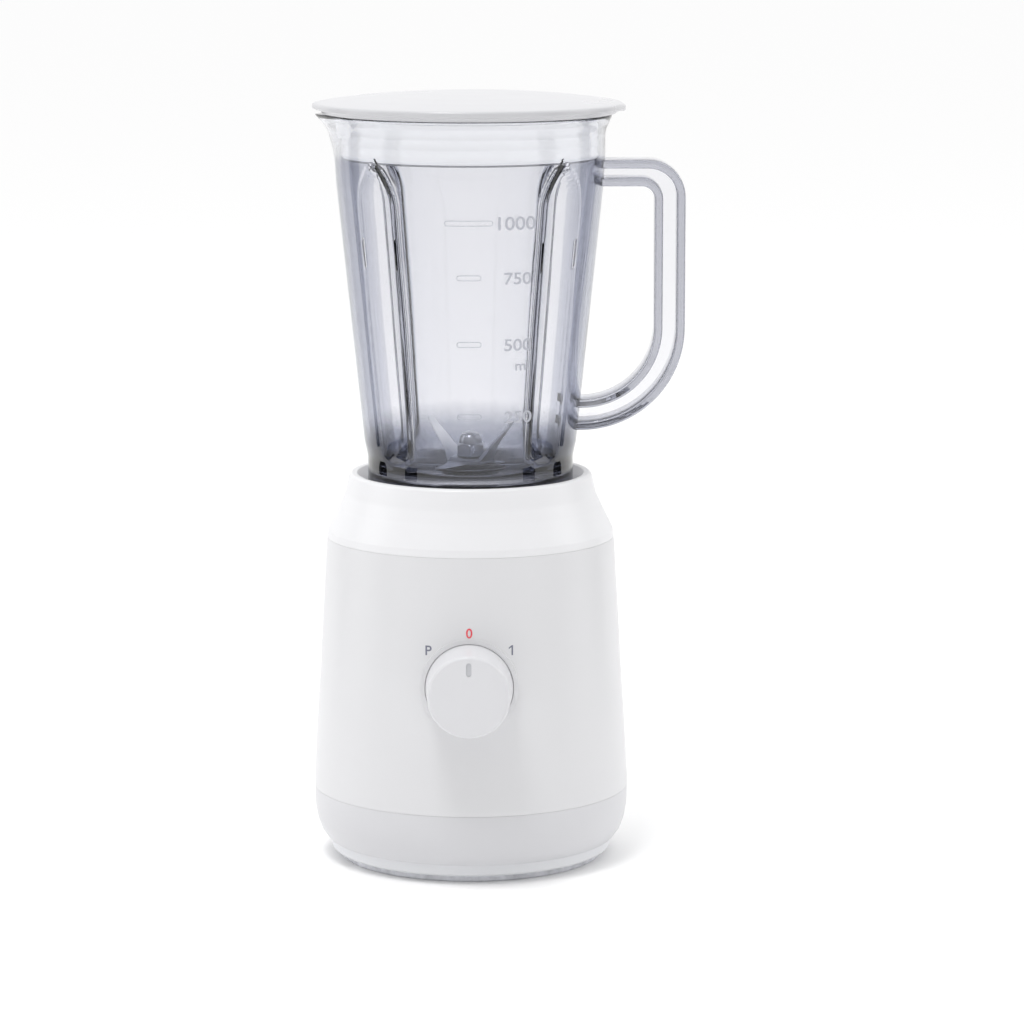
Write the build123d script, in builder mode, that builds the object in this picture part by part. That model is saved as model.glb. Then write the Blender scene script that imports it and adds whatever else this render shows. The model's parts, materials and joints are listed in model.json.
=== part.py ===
"""Countertop blender: a motor base with a rotary knob, a fluted clear jar with a moulded handle,
and a plug-in lid.

Millimetres.  The origin is on the table, under the axis of the jar and motor.
+Z is up, the knob faces -Y, the jar's handle points along +X and its pouring spout along -X.
"""

import os
from math import atan2, cos, degrees, radians, sin

from build123d import *

# ---------------------------------------------------------------- driving dimensions
WALL = 2.5  # moulded housing wall
GAP = 0.3  # clearance between parts that come apart
FIT = 0.05  # radial clearance of screws, shafts and bushes

# base, outside
FOOT_R = 66.0
PLATE_Z = 3.4
PLATE_TOP = 9.0
LOWER_SEAM_Z = 33.5
LOWER_SEAM_R = 74.1
UPPER_SEAM_Z = 152.5
UPPER_SEAM_R = 67.4
RIM_Z = 182.5

# well in the collar that takes the jar
WELL_R = 52.0
WELL_FLOOR_Z = 148.5
LEDGE_Z = 151.7
HOLE_R = 16.5

# jar
JAR_BOTTOM_Z = LEDGE_Z + GAP
JAR_TOP_Z = 350.0
SKIRT_R = 48.1
SKIRT_IN_R = 45.1
JAR_WALL = 2.7
JAR_FLOOR_Z = 180.0
JAR_FLOOR_T = 3.2
FLUTE_ANGLES = (45, 135, 225, 315)

# handle: an I-section hoop
HANDLE_ARC_X = 51.8
HANDLE_ARC_Z = 251.4
FLANGE = 3.9
HANDLE_W = 21.0
HANDLE_WEB = 2.6

# lid
LID_R = 72.4
LID_UNDER_Z = JAR_TOP_Z + GAP
PLUG_R = 58.4
PLUG_Z = 329.6

# knob, on an axis along -Y
KNOB_Z = 93.0
KNOB_FACE = 92.0
KNOB_BACK = 68.2
KNOB_R_BACK = 20.2
KNOB_R_FACE = 18.8
POCKET_R = 21.2
POCKET_FLOOR = 67.4

# drive line
SHAFT_R = 4.0
COUPLING_R = 15.0
TEETH = 6
TOOTH_ANGLE = 25.0

# motor
STATOR_LOW = 62.5
STATOR_HIGH = 97.5
STATOR_X = 62.0
STATOR_Y = 58.0
BORE_R = 17.6
CORE_R = 16.9
BOLT_X = 25.5
BOLT_Y = 23.5
BEARING_R = 11.0
LOW_BEARING_Z = 34.0
HIGH_BEARING_Z = 116.0
MOUNT_RING_R = 55.0
LUG_Z = 106.0

# screws
BASE_SCREW_RING_R = 49.0
COLLAR_SCREW_RING_R = 58.0
BOSS_R = 4.4
SCREW_R = 1.9

# jar interlock
PIN_X = -46.6
PIN_R = 2.0
SHELF_Z = 110.0

# cord gland
GLAND_Z = 52.0
CORD_R = 3.6

UP = (Align.CENTER, Align.CENTER, Align.MIN)
nodes = []


def keep(builder, name):
    """Labels a finished piece and puts it on the list that is written out at the end."""
    builder.part.label = name
    nodes.append(builder.part)


def four(radius):
    """Four places on the diagonals."""
    return PolarLocations(radius, 4, start_angle=45)


def body_radius(z):
    """Outside radius of the tapered main housing at a height."""
    share = (z - LOWER_SEAM_Z) / (UPPER_SEAM_Z - LOWER_SEAM_Z)
    return LOWER_SEAM_R + (UPPER_SEAM_R - LOWER_SEAM_R) * share


def tube(low, high, outer, inner):
    """A plain ring about the Z axis, or about each current location."""
    with Locations((0, 0, low)):
        Cylinder(outer, high - low, align=UP)
        Cylinder(inner, high - low, align=UP, mode=Mode.SUBTRACT)


def front(distance):
    """A sketch plane facing the front, this far in front of the axis; sketch x is +X and sketch y is +Z."""
    return Plane.XZ.offset(distance)


# ================================================================ base: casings
# Bottom plate: a disc with radial vent slots, four sunk screw seats and a groove for the foot ring.
RING_OUT = 62.0
RING_IN = 54.0
GROOVE = 1.6
with BuildPart() as bottom_plate:
    with Locations((0, 0, PLATE_Z)):
        Cylinder(FOOT_R, PLATE_TOP - PLATE_Z, align=UP)
    chamfer(bottom_plate.edges().sort_by(Axis.Z)[0], length=0.9)
    with Locations((0, 0, PLATE_Z)):
        Cylinder(RING_OUT, GROOVE, align=UP, mode=Mode.SUBTRACT)
        Cylinder(RING_IN, GROOVE, align=UP)
        Cylinder(40, 2.2, align=UP, mode=Mode.SUBTRACT)
    with BuildSketch(Plane.XY.offset(PLATE_Z)):
        with PolarLocations(25, 16):
            SlotOverall(22, 3.2)
    extrude(amount=PLATE_TOP, mode=Mode.SUBTRACT)
    with Locations((0, 0, PLATE_Z)):
        with four(BASE_SCREW_RING_R):
            Cylinder(3.8, 2.4, align=UP, mode=Mode.SUBTRACT)
            Cylinder(SCREW_R + FIT, PLATE_TOP, align=UP, mode=Mode.SUBTRACT)
keep(bottom_plate, "bottom_plate")

# One rubber ring, let into the plate's groove, is what the blender stands on.
with BuildPart() as rubber_foot_ring:
    tube(0, PLATE_Z + GROOVE, RING_OUT - FIT, RING_IN + FIT)
    chamfer(rubber_foot_ring.faces().sort_by(Axis.Z)[0].edges(), length=0.5)
keep(rubber_foot_ring, "rubber_foot_ring")

# Lower housing: a shallow cup that rounds in to the foot, with a tongue that locates in the main housing.
TURN_Z = 27.0
CUP_R = 67.3
with BuildPart() as lower_housing:
    with BuildSketch(Plane.XZ):
        with BuildLine():
            Line((LOWER_SEAM_R, LOWER_SEAM_Z), (LOWER_SEAM_R - 0.2, TURN_Z))
            ThreePointArc((LOWER_SEAM_R - 0.2, TURN_Z), (72.0, 16.0), (CUP_R, PLATE_TOP))
            Polyline(
                (CUP_R, PLATE_TOP),
                (42, PLATE_TOP),
                (42, PLATE_TOP + WALL),
                (CUP_R - 1.6, PLATE_TOP + WALL),
            )
            ThreePointArc((CUP_R - 1.6, PLATE_TOP + WALL), (69.6, 17.2), (LOWER_SEAM_R - 0.2 - WALL, TURN_Z))
            Polyline(
                (LOWER_SEAM_R - 0.2 - WALL, TURN_Z),
                (LOWER_SEAM_R - WALL - 2.2, TURN_Z + 4),
                (LOWER_SEAM_R - WALL - 2.2, LOWER_SEAM_Z + 4),
                (LOWER_SEAM_R - WALL - 0.5, LOWER_SEAM_Z + 4),
                (LOWER_SEAM_R - WALL - 0.5, LOWER_SEAM_Z),
                (LOWER_SEAM_R, LOWER_SEAM_Z),
            )
        make_face()
    revolve(axis=Axis.Z)
    with Locations((0, 0, PLATE_TOP)):
        with four(BASE_SCREW_RING_R):
            Cylinder(BOSS_R, 24, align=UP)
            Cylinder(SCREW_R + FIT, 24, align=UP, mode=Mode.SUBTRACT)
keep(lower_housing, "lower_housing")

# Main housing: a tapered tube with screw posts, motor lugs, a switch shelf and the knob's pocket.
with BuildPart() as main_housing:
    with BuildSketch(Plane.XZ):
        Polygon(
            (body_radius(UPPER_SEAM_Z), UPPER_SEAM_Z),
            (LOWER_SEAM_R, LOWER_SEAM_Z),
            (LOWER_SEAM_R - WALL, LOWER_SEAM_Z),
            (UPPER_SEAM_R - WALL, UPPER_SEAM_Z),
            align=None,
        )
    revolve(axis=Axis.Z)
    with Locations((0, 0, PLATE_TOP + 24 + FIT)):
        with four(BASE_SCREW_RING_R):
            Cylinder(BOSS_R, 26, align=UP)
    with Locations((0, 0, 40)):
        with four(62):
            Box(20, 2.4, 16, align=UP)
    with Locations((0, 0, LUG_Z - 4)):
        with four(58.5):
            Box(19, 14, 4, align=UP)
    with Locations((0, 0, 139)):
        with four(59.5):
            Box(13, 11, 4, align=UP)
    with Locations((-53, 0, SHELF_Z - 2.5)):
        Box(30, 14, 2.5, align=UP)
    with Locations((0, 0, PLATE_TOP)):
        with four(BASE_SCREW_RING_R):
            Cylinder(SCREW_R + FIT, 60, align=UP, mode=Mode.SUBTRACT)
    with Locations((0, 0, LUG_Z - 4)):
        with four(MOUNT_RING_R):
            Cylinder(SCREW_R + FIT, 4, align=UP, mode=Mode.SUBTRACT)
    with Locations((0, 0, 139)):
        with four(COLLAR_SCREW_RING_R):
            Cylinder(SCREW_R + FIT, 4, align=UP, mode=Mode.SUBTRACT)
    # knob pocket: a shallow cup let in from the front, with a hole for the switch's bushing
    with BuildSketch(front(POCKET_FLOOR - 2)):
        with Locations((0, KNOB_Z)):
            Circle(POCKET_R + 2)
    extrude(amount=2.6)
    with BuildSketch(front(POCKET_FLOOR)):
        with Locations((0, KNOB_Z)):
            Circle(POCKET_R)
    extrude(amount=12, mode=Mode.SUBTRACT)
    with BuildSketch(front(POCKET_FLOOR - 3)):
        with Locations((0, KNOB_Z)):
            Circle(5.2)
    extrude(amount=12, mode=Mode.SUBTRACT)
    # cord gland's hole, straight out of the back
    with Locations(Plane((0, 60, GLAND_Z), z_dir=(0, 1, 0))):
        Cylinder(6.4, 30, align=UP, mode=Mode.SUBTRACT)
keep(main_housing, "main_housing")

# Top collar: sloping shoulder, rolled rim and the well that the jar drops into, one moulding.
with BuildPart() as top_collar:
    with BuildSketch(Plane.XZ):
        with BuildLine():
            Line((UPPER_SEAM_R - 0.1, UPPER_SEAM_Z), (UPPER_SEAM_R - 0.5, 155.8))
            ThreePointArc((UPPER_SEAM_R - 0.5, 155.8), (65.7, 159.0), (63.6, 162.4))
            Line((63.6, 162.4), (60.6, 168.4))
            ThreePointArc((60.6, 168.4), (58.5, 173.8), (57.2, 180.2))
            ThreePointArc((57.2, 180.2), (54.6, RIM_Z), (WELL_R, 180.0))
            Polyline(
                (WELL_R, 180.0),
                (WELL_R, LEDGE_Z),
                (WELL_R - 9, LEDGE_Z),
                (WELL_R - 9, WELL_FLOOR_Z),
                (HOLE_R + 2.4, WELL_FLOOR_Z),
                (HOLE_R + 2.4, LEDGE_Z + 2),
                (HOLE_R, LEDGE_Z + 2),
                (HOLE_R, WELL_FLOOR_Z - WALL),
                (WELL_R + 2.2, WELL_FLOOR_Z - WALL),
                (WELL_R + 2.2, 175),
                (57.6, 168),
                (UPPER_SEAM_R - WALL - 0.8, 155.5),
                (UPPER_SEAM_R - WALL - 2.0, UPPER_SEAM_Z - 4),
                (UPPER_SEAM_R - WALL - 0.4, UPPER_SEAM_Z - 4),
                (UPPER_SEAM_R - WALL - 0.4, UPPER_SEAM_Z),
                (UPPER_SEAM_R - 0.1, UPPER_SEAM_Z),
            )
        make_face()
    revolve(axis=Axis.Z)
    # bosses for the collar screws
    with Locations((0, 0, 143 + FIT)):
        with four(COLLAR_SCREW_RING_R):
            Cylinder(BOSS_R, 22, align=UP)
            Cylinder(SCREW_R + FIT, 13, align=UP, mode=Mode.SUBTRACT)
    # pairs of ribs that hold the jar's lugs against turning
    for turn in (-7.2, 7.2):
        with Locations((0, 0, LEDGE_Z)):
            with PolarLocations(50.9, 4, start_angle=45 + turn):
                Box(4.4, 4, 17, align=UP)
    # hole for the interlock pin
    with Locations((PIN_X, 0, 140)):
        Cylinder(PIN_R + 0.08, 20, align=UP, mode=Mode.SUBTRACT)
keep(top_collar, "top_collar")


def screws(name, places, seat, head_r, head_h, length, upwards=True):
    """Four identical pan-head screws; the head lies outside the seat and the shank goes in."""
    with BuildPart() as group:
        way = 1 if upwards else -1
        with Locations(*places):
            with Locations((0, 0, seat - way * head_h / 2)):
                Cylinder(head_r, head_h)
            with Locations((0, 0, seat + way * length / 2)):
                Cylinder(SCREW_R, length)
            with Locations((0, 0, seat - way * (head_h - 0.6))):
                Box(head_r * 1.1, 0.9, 1.2, mode=Mode.SUBTRACT)
                Box(0.9, head_r * 1.1, 1.2, mode=Mode.SUBTRACT)
    keep(group, name)


def diagonal(radius):
    """The four diagonal places as plain positions."""
    spots = []
    for angle in FLUTE_ANGLES:
        spots.append((radius * cos(radians(angle)), radius * sin(radians(angle)), 0))
    return spots


screws("base_screws", diagonal(BASE_SCREW_RING_R), PLATE_Z + 2.4, 3.4, 2.0, 46)
screws("collar_screws", diagonal(COLLAR_SCREW_RING_R), 139, 3.4, 2.0, 15)

# ================================================================ motor, fixed parts
# Stator core: a laminated block with the rotor's bore and the windows that take the two field coils.
with BuildPart() as stator_core:
    with BuildSketch(Plane.XY.offset(STATOR_LOW)):
        RectangleRounded(STATOR_X, STATOR_Y, 9)
        Circle(BORE_R, mode=Mode.SUBTRACT)
        for side in (-1, 1):
            with Locations((0, side * 16.6)):
                Rectangle(40, 5.4, mode=Mode.SUBTRACT)
        with GridLocations(46, 31.2, 2, 2):
            Rectangle(6.6, 7.6, mode=Mode.SUBTRACT)
        with GridLocations(2 * BOLT_X, 2 * BOLT_Y, 2, 2):
            Circle(2.0, mode=Mode.SUBTRACT)
    extrude(amount=STATOR_HIGH - STATOR_LOW)
keep(stator_core, "stator_core")

# Two field coils: rounded hoops round the poles.
with BuildPart() as field_coils:
    for side in (-1, 1):
        with BuildSketch(Plane.YZ.offset(side * 23 - 3)):
            with Locations((0, (STATOR_LOW + STATOR_HIGH) / 2)):
                RectangleRounded(38.4, STATOR_HIGH - STATOR_LOW + 15, 6)
                RectangleRounded(24.6, STATOR_HIGH - STATOR_LOW + 0.8, 0.5, mode=Mode.SUBTRACT)
        extrude(amount=6)
keep(field_coils, "field_coils")


def bearing(name, low):
    """A sealed ball bearing: two races and the shields between them."""
    with BuildPart() as made:
        tube(low, low + 7, BEARING_R, SHAFT_R + FIT)
        for face in (low, low + 6.6):
            with BuildSketch(Plane.XY.offset(face)):
                Circle(9.2)
                Circle(6.0, mode=Mode.SUBTRACT)
            extrude(amount=0.4, mode=Mode.SUBTRACT)
    keep(made, name)


bearing("lower_bearing", LOW_BEARING_Z)
bearing("upper_bearing", HIGH_BEARING_Z)


def bracket(name, cup_low, cup_high, plate_low, pillar_low, pillar_high, arms):
    """A cast cross with a bearing cup in the middle and a pillar on each through bolt."""
    with BuildPart() as made:
        with BuildSketch(Plane.XY.offset(plate_low)):
            for angle in (45, 135):
                with Locations(Location((0, 0), angle)):
                    SlotOverall(2 * arms, 11)
        extrude(amount=4)
        with Locations((0, 0, cup_low)):
            Cylinder(BEARING_R + 3, cup_high - cup_low, align=UP)
        with Locations((0, 0, pillar_low)):
            with GridLocations(2 * BOLT_X, 2 * BOLT_Y, 2, 2):
                Cylinder(4.0, pillar_high - pillar_low, align=UP)
        with Locations((0, 0, min(plate_low, cup_low, pillar_low))):
            Cylinder(SHAFT_R + 2, 60, align=UP, mode=Mode.SUBTRACT)
            with GridLocations(2 * BOLT_X, 2 * BOLT_Y, 2, 2):
                Cylinder(2.0, 60, align=UP, mode=Mode.SUBTRACT)
        if arms > 50:
            with Locations((0, 0, plate_low)):
                with four(MOUNT_RING_R):
                    Cylinder(SCREW_R + 0.4, 4, align=UP, mode=Mode.SUBTRACT)
        seat = LOW_BEARING_Z if cup_low < 60 else HIGH_BEARING_Z
        with Locations((0, 0, seat)):
            Cylinder(BEARING_R + FIT, 7, align=UP, mode=Mode.SUBTRACT)
    keep(made, name)


bracket("lower_motor_bracket", LOW_BEARING_Z - 1.5, 42, 38, 38, STATOR_LOW, 41)
bracket("upper_motor_bracket", 112, HIGH_BEARING_Z + 7, 112, STATOR_HIGH, 116, 61)

# Long bolts through both brackets and the stator.
with BuildPart() as through_bolts:
    with GridLocations(2 * BOLT_X, 2 * BOLT_Y, 2, 2):
        with Locations((0, 0, 34.8)):
            Cylinder(1.9, 88, align=UP)
            Cylinder(3.6, 3.2, align=UP)
        with Locations((0, 0, 116)):
            Cylinder(3.4, 3.0, align=UP)
keep(through_bolts, "through_bolts")

# Rubber mounts between the motor's arms and the housing's lugs, and the screws that hold them.
with BuildPart() as motor_mount_rubbers:
    with Locations(*diagonal(MOUNT_RING_R)):
        tube(LUG_Z, 112, 5.4, SCREW_R + 0.4)
keep(motor_mount_rubbers, "motor_mount_rubbers")
screws("motor_mount_screws", diagonal(MOUNT_RING_R), 116, 3.6, 2.2, 15, upwards=False)

# Brush holders, brushes and springs, one set on each side of the commutator.
BRUSH_Z = 49.0
with BuildPart() as brush_holders:
    for side in (-1, 1):
        with Locations((side * 24, 0, BRUSH_Z)):
            Box(22, 10, 11)
        with Locations((side * 24, 0, BRUSH_Z)):
            Box(30, 6.4, 7.4, mode=Mode.SUBTRACT)
        with Locations((side * 36, 0, BRUSH_Z)):
            Box(2, 10, 11)
keep(brush_holders, "brush_holders")

with BuildPart() as carbon_brushes:
    for side in (-1, 1):
        with Locations((side * 18.6, 0, BRUSH_Z)):
            Box(14.4, 6, 7)
keep(carbon_brushes, "carbon_brushes")

with BuildPart() as brush_springs:
    for side in (-1, 1):
        start = side * 26.4
        with BuildLine():
            Helix(pitch=1.9, height=7.6, radius=2.2, center=(start, 0, BRUSH_Z), direction=(side, 0, 0))
        with BuildSketch(Plane(origin=brush_springs.pending_edges[0] @ 0, z_dir=brush_springs.pending_edges[0] % 0)):
            Circle(0.35)
        sweep(is_frenet=True)
keep(brush_springs, "brush_springs")

# ================================================================ motor, turning parts
with BuildPart() as motor_shaft:
    with Locations((0, 0, 13)):
        Cylinder(SHAFT_R, 145, align=UP)
    chamfer(motor_shaft.edges().filter_by(GeomType.CIRCLE), length=0.5)
keep(motor_shaft, "motor_shaft")

SLOTS = 12
with BuildPart() as armature_core:
    with BuildSketch(Plane.XY.offset(STATOR_LOW + 0.5)):
        Circle(CORE_R)
        Circle(SHAFT_R + 0.02, mode=Mode.SUBTRACT)
        with PolarLocations(11.6, SLOTS):
            SlotOverall(7, 3.4, mode=Mode.SUBTRACT)
        with PolarLocations(16, SLOTS):
            Rectangle(4, 1.2, mode=Mode.SUBTRACT)
    extrude(amount=STATOR_HIGH - STATOR_LOW - 1)
keep(armature_core, "armature_core")

# Copper in the slots, joined by the end turns above and below the core.
with BuildPart() as armature_windings:
    tube(STATOR_LOW - 2.8, STATOR_LOW + 0.3, 14.6, SHAFT_R + 2)
    tube(STATOR_HIGH - 0.3, STATOR_HIGH + 4.5, 14.6, SHAFT_R + 2)
    with BuildSketch(Plane.XY.offset(STATOR_LOW)):
        with PolarLocations(11.6, SLOTS):
            SlotOverall(6.6, 3.0)
    extrude(amount=STATOR_HIGH - STATOR_LOW)
keep(armature_windings, "armature_windings")

BARS = 24
with BuildPart() as commutator:
    tube(43.6, 57, 11, SHAFT_R + 0.02)
    tube(57, 59, 12.2, SHAFT_R + 0.02)
    with PolarLocations(11.4, BARS):
        with Locations((0, 0, 43.6)):
            Box(1.6, 0.5, 15.4, align=UP, mode=Mode.SUBTRACT)
keep(commutator, "commutator")

BLADES_ON_FAN = 9
with BuildPart() as cooling_fan:
    tube(16, 18, 36, SHAFT_R + 0.02)
    tube(16, 28, 8, SHAFT_R + 0.02)
    with PolarLocations(21, BLADES_ON_FAN):
        with Locations(Location((0, 0, 18), (0, 0, 24))):
            Box(27, 1.8, 9, align=UP)
keep(cooling_fan, "cooling_fan")

# Rubber slinger that throws drips off the shaft before they reach the upper bearing.
with BuildPart() as drip_seal:
    tube(126, 132, 7.5, SHAFT_R + 0.02)
    tube(132, 134, 14, SHAFT_R + 0.02)
keep(drip_seal, "drip_seal")


def teeth(low, high, start):
    """Ring-sector teeth of a face coupling, spread evenly from a starting angle."""
    with BuildSketch(Plane.XY.offset(low)) as ring:
        for step in range(TEETH):
            middle = start + step * 360 / TEETH
            left = radians(middle - TOOTH_ANGLE / 2)
            right = radians(middle + TOOTH_ANGLE / 2)
            at = radians(middle)
            with BuildLine():
                Line((9 * cos(left), 9 * sin(left)), (COUPLING_R * cos(left), COUPLING_R * sin(left)))
                ThreePointArc(
                    (COUPLING_R * cos(left), COUPLING_R * sin(left)),
                    (COUPLING_R * cos(at), COUPLING_R * sin(at)),
                    (COUPLING_R * cos(right), COUPLING_R * sin(right)),
                )
                Line((COUPLING_R * cos(right), COUPLING_R * sin(right)), (9 * cos(right), 9 * sin(right)))
                ThreePointArc(
                    (9 * cos(right), 9 * sin(right)),
                    (9 * cos(at), 9 * sin(at)),
                    (9 * cos(left), 9 * sin(left)),
                )
            make_face()
    extrude(ring.sketch, amount=high - low)


with BuildPart() as drive_coupling:
    tube(150, 153.5, COUPLING_R, SHAFT_R + 0.02)
    teeth(153.5, 160.5, 0)
    tube(144, 157.8, 7.4, SHAFT_R + 0.02)
keep(drive_coupling, "drive_coupling")

# ================================================================ controls and supply
with BuildPart() as rotary_switch:
    with Locations((0, -51, KNOB_Z)):
        Box(30, 24, 28)
    fillet(rotary_switch.edges().filter_by(Axis.Y), radius=2)
    with BuildSketch(front(63)):
        with Locations((0, KNOB_Z)):
            Circle(5.0)
    extrude(amount=5.2)
    with BuildSketch(front(54)):
        with Locations((0, KNOB_Z)):
            Circle(3.0 + FIT)
    extrude(amount=20, mode=Mode.SUBTRACT)
    with Locations(*[(x, -39, KNOB_Z + z) for x in (-9, 0, 9) for z in (-7, 7)]):
        Box(4.8, 8, 0.8, mode=Mode.ADD)
keep(rotary_switch, "rotary_switch")

with BuildPart() as switch_shaft:
    with BuildSketch(front(55)):
        with Locations((0, KNOB_Z)):
            Circle(3.0)
    extrude(amount=31)
    with BuildSketch(front(73)):
        with Locations((0, KNOB_Z + 3)):
            Rectangle(8, 2.4)
    extrude(amount=13, mode=Mode.SUBTRACT)
keep(switch_shaft, "switch_shaft")

# Speed knob: a slightly tapered cap, hollow behind, with a hub for the switch shaft and a sunk pointer.
with BuildPart() as speed_knob:
    with BuildSketch(front(KNOB_BACK)):
        with Locations((0, KNOB_Z)):
            Circle(KNOB_R_BACK)
    with BuildSketch(front(KNOB_FACE)):
        with Locations((0, KNOB_Z)):
            Circle(KNOB_R_FACE)
    loft()
    fillet(speed_knob.edges().group_by(Axis.Y)[0], radius=1.6)
    with BuildSketch(front(KNOB_BACK)):
        with Locations((0, KNOB_Z)):
            Circle(17)
            Circle(5.6, mode=Mode.SUBTRACT)
    extrude(amount=KNOB_FACE - KNOB_BACK - 3.4, mode=Mode.SUBTRACT)
    with BuildSketch(front(KNOB_BACK)):
        with Locations((0, KNOB_Z)):
            Circle(3.0 + FIT)
    extrude(amount=86.2 - KNOB_BACK, mode=Mode.SUBTRACT)
    with BuildSketch(front(73.2)):
        with Locations((0, KNOB_Z + 3)):
            Rectangle(5, 2.2)
    extrude(amount=12.6)
    with BuildSketch(front(KNOB_FACE - 0.6)):
        with Locations((0, KNOB_Z + 13)):
            SlotOverall(6.4, 2.4, rotation=90)
    extrude(amount=2, mode=Mode.SUBTRACT)
keep(speed_knob, "speed_knob")

# Interlock: the jar's foot holds a sprung pin down on a small switch.
with BuildPart() as interlock_switch:
    with Locations((PIN_X, 0, SHELF_Z)):
        Box(20, 7, 10, align=UP)
        Cylinder(1.6, 13.4, align=UP)
    with Locations((PIN_X - 7, 0, SHELF_Z), (PIN_X + 7, 0, SHELF_Z)):
        Cylinder(1.4, 1, align=UP, mode=Mode.SUBTRACT)
keep(interlock_switch, "interlock_switch")

with BuildPart() as interlock_pin:
    with Locations((PIN_X, 0, 123.8)):
        Cylinder(PIN_R, LEDGE_Z + 0.1 - 123.8, align=UP)
    with Locations((PIN_X, 0, 134)):
        Cylinder(4.4, 2, align=UP)
keep(interlock_pin, "interlock_pin")

COILS = 6
with BuildPart() as interlock_spring:
    with BuildLine():
        Helix(pitch=13 / COILS, height=13, radius=3.1, center=(PIN_X, 0, 120.5))
    with BuildSketch(Plane(origin=(PIN_X + 3.1, 0, 120.5), z_dir=(0, 1, 0))):
        Circle(0.4)
    sweep(is_frenet=True)
keep(interlock_spring, "interlock_spring")

# Cord gland: a bushing through the back wall, open for a round cord, held by a nut inside.
with BuildPart() as cord_gland:
    with Locations(Plane((0, 58, GLAND_Z), z_dir=(0, 1, 0))):
        Cylinder(6.1, 19, align=UP)
        with Locations((0, 0, 15.6)):
            Cylinder(9.0, 3.4, align=UP)
        Cylinder(CORD_R, 19, align=UP, mode=Mode.SUBTRACT)
    chamfer(cord_gland.edges().sort_by(Axis.Y)[-1], length=0.6)
keep(cord_gland, "cord_gland")

with BuildPart() as gland_nut:
    with BuildSketch(Plane((0, 62, GLAND_Z), x_dir=(1, 0, 0), z_dir=(0, 1, 0))):
        RegularPolygon(9.4, 6)
        Circle(6.1 + FIT, mode=Mode.SUBTRACT)
    extrude(amount=5)
keep(gland_nut, "gland_nut")

with BuildPart() as terminal_block:
    with Locations((0, 54, PLATE_TOP + WALL)):
        Box(26, 11, 12, align=UP)
    with Locations(*[(x, 54, PLATE_TOP + WALL + 12) for x in (-8.5, 0, 8.5)]):
        Cylinder(2.2, 14, mode=Mode.SUBTRACT)
keep(terminal_block, "terminal_block")

# ================================================================ jar
FLUTE_LEAN = degrees(atan2(62.4 - 49.9, 320 - 197))


def jar_shell(shrink, bottom, top):
    """Revolved outline of the jar's outside, or of its hollow when shrunk by the wall."""
    with BuildSketch(Plane.XZ) as outline:
        with BuildLine():
            if shrink:
                FilletPolyline((0, bottom), (SKIRT_R - 1.0, bottom), (62.2 - shrink, 320), radius=14)
                Polyline(
                    (62.2 - shrink, 320),
                    (62.9 - shrink, 331),
                    (62.9 - shrink, 341),
                    (65.6 - shrink, top - 2),
                    (65.6 - shrink, top + 12),
                    (0, top + 12),
                    (0, bottom),
                )
            else:
                Polyline(
                    (0, bottom),
                    (SKIRT_R, bottom),
                    (SKIRT_R, 190.5),
                    (49.7, 197.5),
                    (62.2, 320),
                    (62.9, 331),
                    (62.9, 341),
                    (65.4, top - 4.5),
                    (65.9, top - 3.0),
                    (65.9, top - 0.8),
                    (65.1, top),
                    (0, top),
                    (0, bottom),
                )
        make_face()
    return revolve(outline.sketch, axis=Axis.Z, mode=Mode.PRIVATE)


def flute(angle, extra):
    """Rod with an ogive point that presses one groove in the wall; extra thickens it for the inside."""
    local = Plane.XY.rotated((0, 0, angle)) * Location((50.4, 0, 192)) * Location((0, 0, 0), (0, FLUTE_LEAN, 0))
    with BuildSketch(Plane.XZ) as outline:
        with BuildLine():
            Line((0, -10), (7.6 + extra, -10))
            Line((7.6 + extra, -10), (10.2 + extra, 104))
            ThreePointArc((10.2 + extra, 104), (6.6 + extra, 123), (0, 134 + 2 * extra))
            Line((0, 134 + 2 * extra), (0, -10))
        make_face()
    rod = revolve(outline.sketch, axis=Axis.Z, mode=Mode.PRIVATE)
    return rod.moved(local if isinstance(local, Location) else Location(local))


def hoop(arc, top, corner):
    """Filled outline of the handle out to one of its curved layers."""
    x = HANDLE_ARC_X + arc
    with BuildSketch(Plane.XZ) as outline:
        with BuildLine():
            Line((44, top), (x - corner, top))
            RadiusArc((x - corner, top), (x, top - corner), corner)
            Line((x, top - corner), (x, HANDLE_ARC_Z))
            RadiusArc((x, HANDLE_ARC_Z), (HANDLE_ARC_X, HANDLE_ARC_Z - arc), arc)
            Line((HANDLE_ARC_X, HANDLE_ARC_Z - arc), (44, HANDLE_ARC_Z - arc))
            Line((44, HANDLE_ARC_Z - arc), (44, top))
        make_face()
    return outline.sketch


def layer(outer, inner, width):
    """A band of the handle between two outlines, centred on the middle plane."""
    return extrude(outer - inner, amount=width / 2, both=True, mode=Mode.PRIVATE)


ARC = 48.0
TOP = 329.2
DEPTH = 14.2
DROP = 12.1
handle = layer(hoop(ARC, TOP, 17), hoop(ARC - FLANGE, TOP - FLANGE, 13.1), HANDLE_W)
handle += layer(
    hoop(ARC - DEPTH + FLANGE, TOP - DROP + FLANGE, 9.9), hoop(ARC - DEPTH, TOP - DROP, 6), HANDLE_W
)
handle += layer(hoop(ARC - 1, TOP - 1, 16), hoop(ARC - DEPTH + 1, TOP - DROP + 1, 7), HANDLE_WEB)


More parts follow.
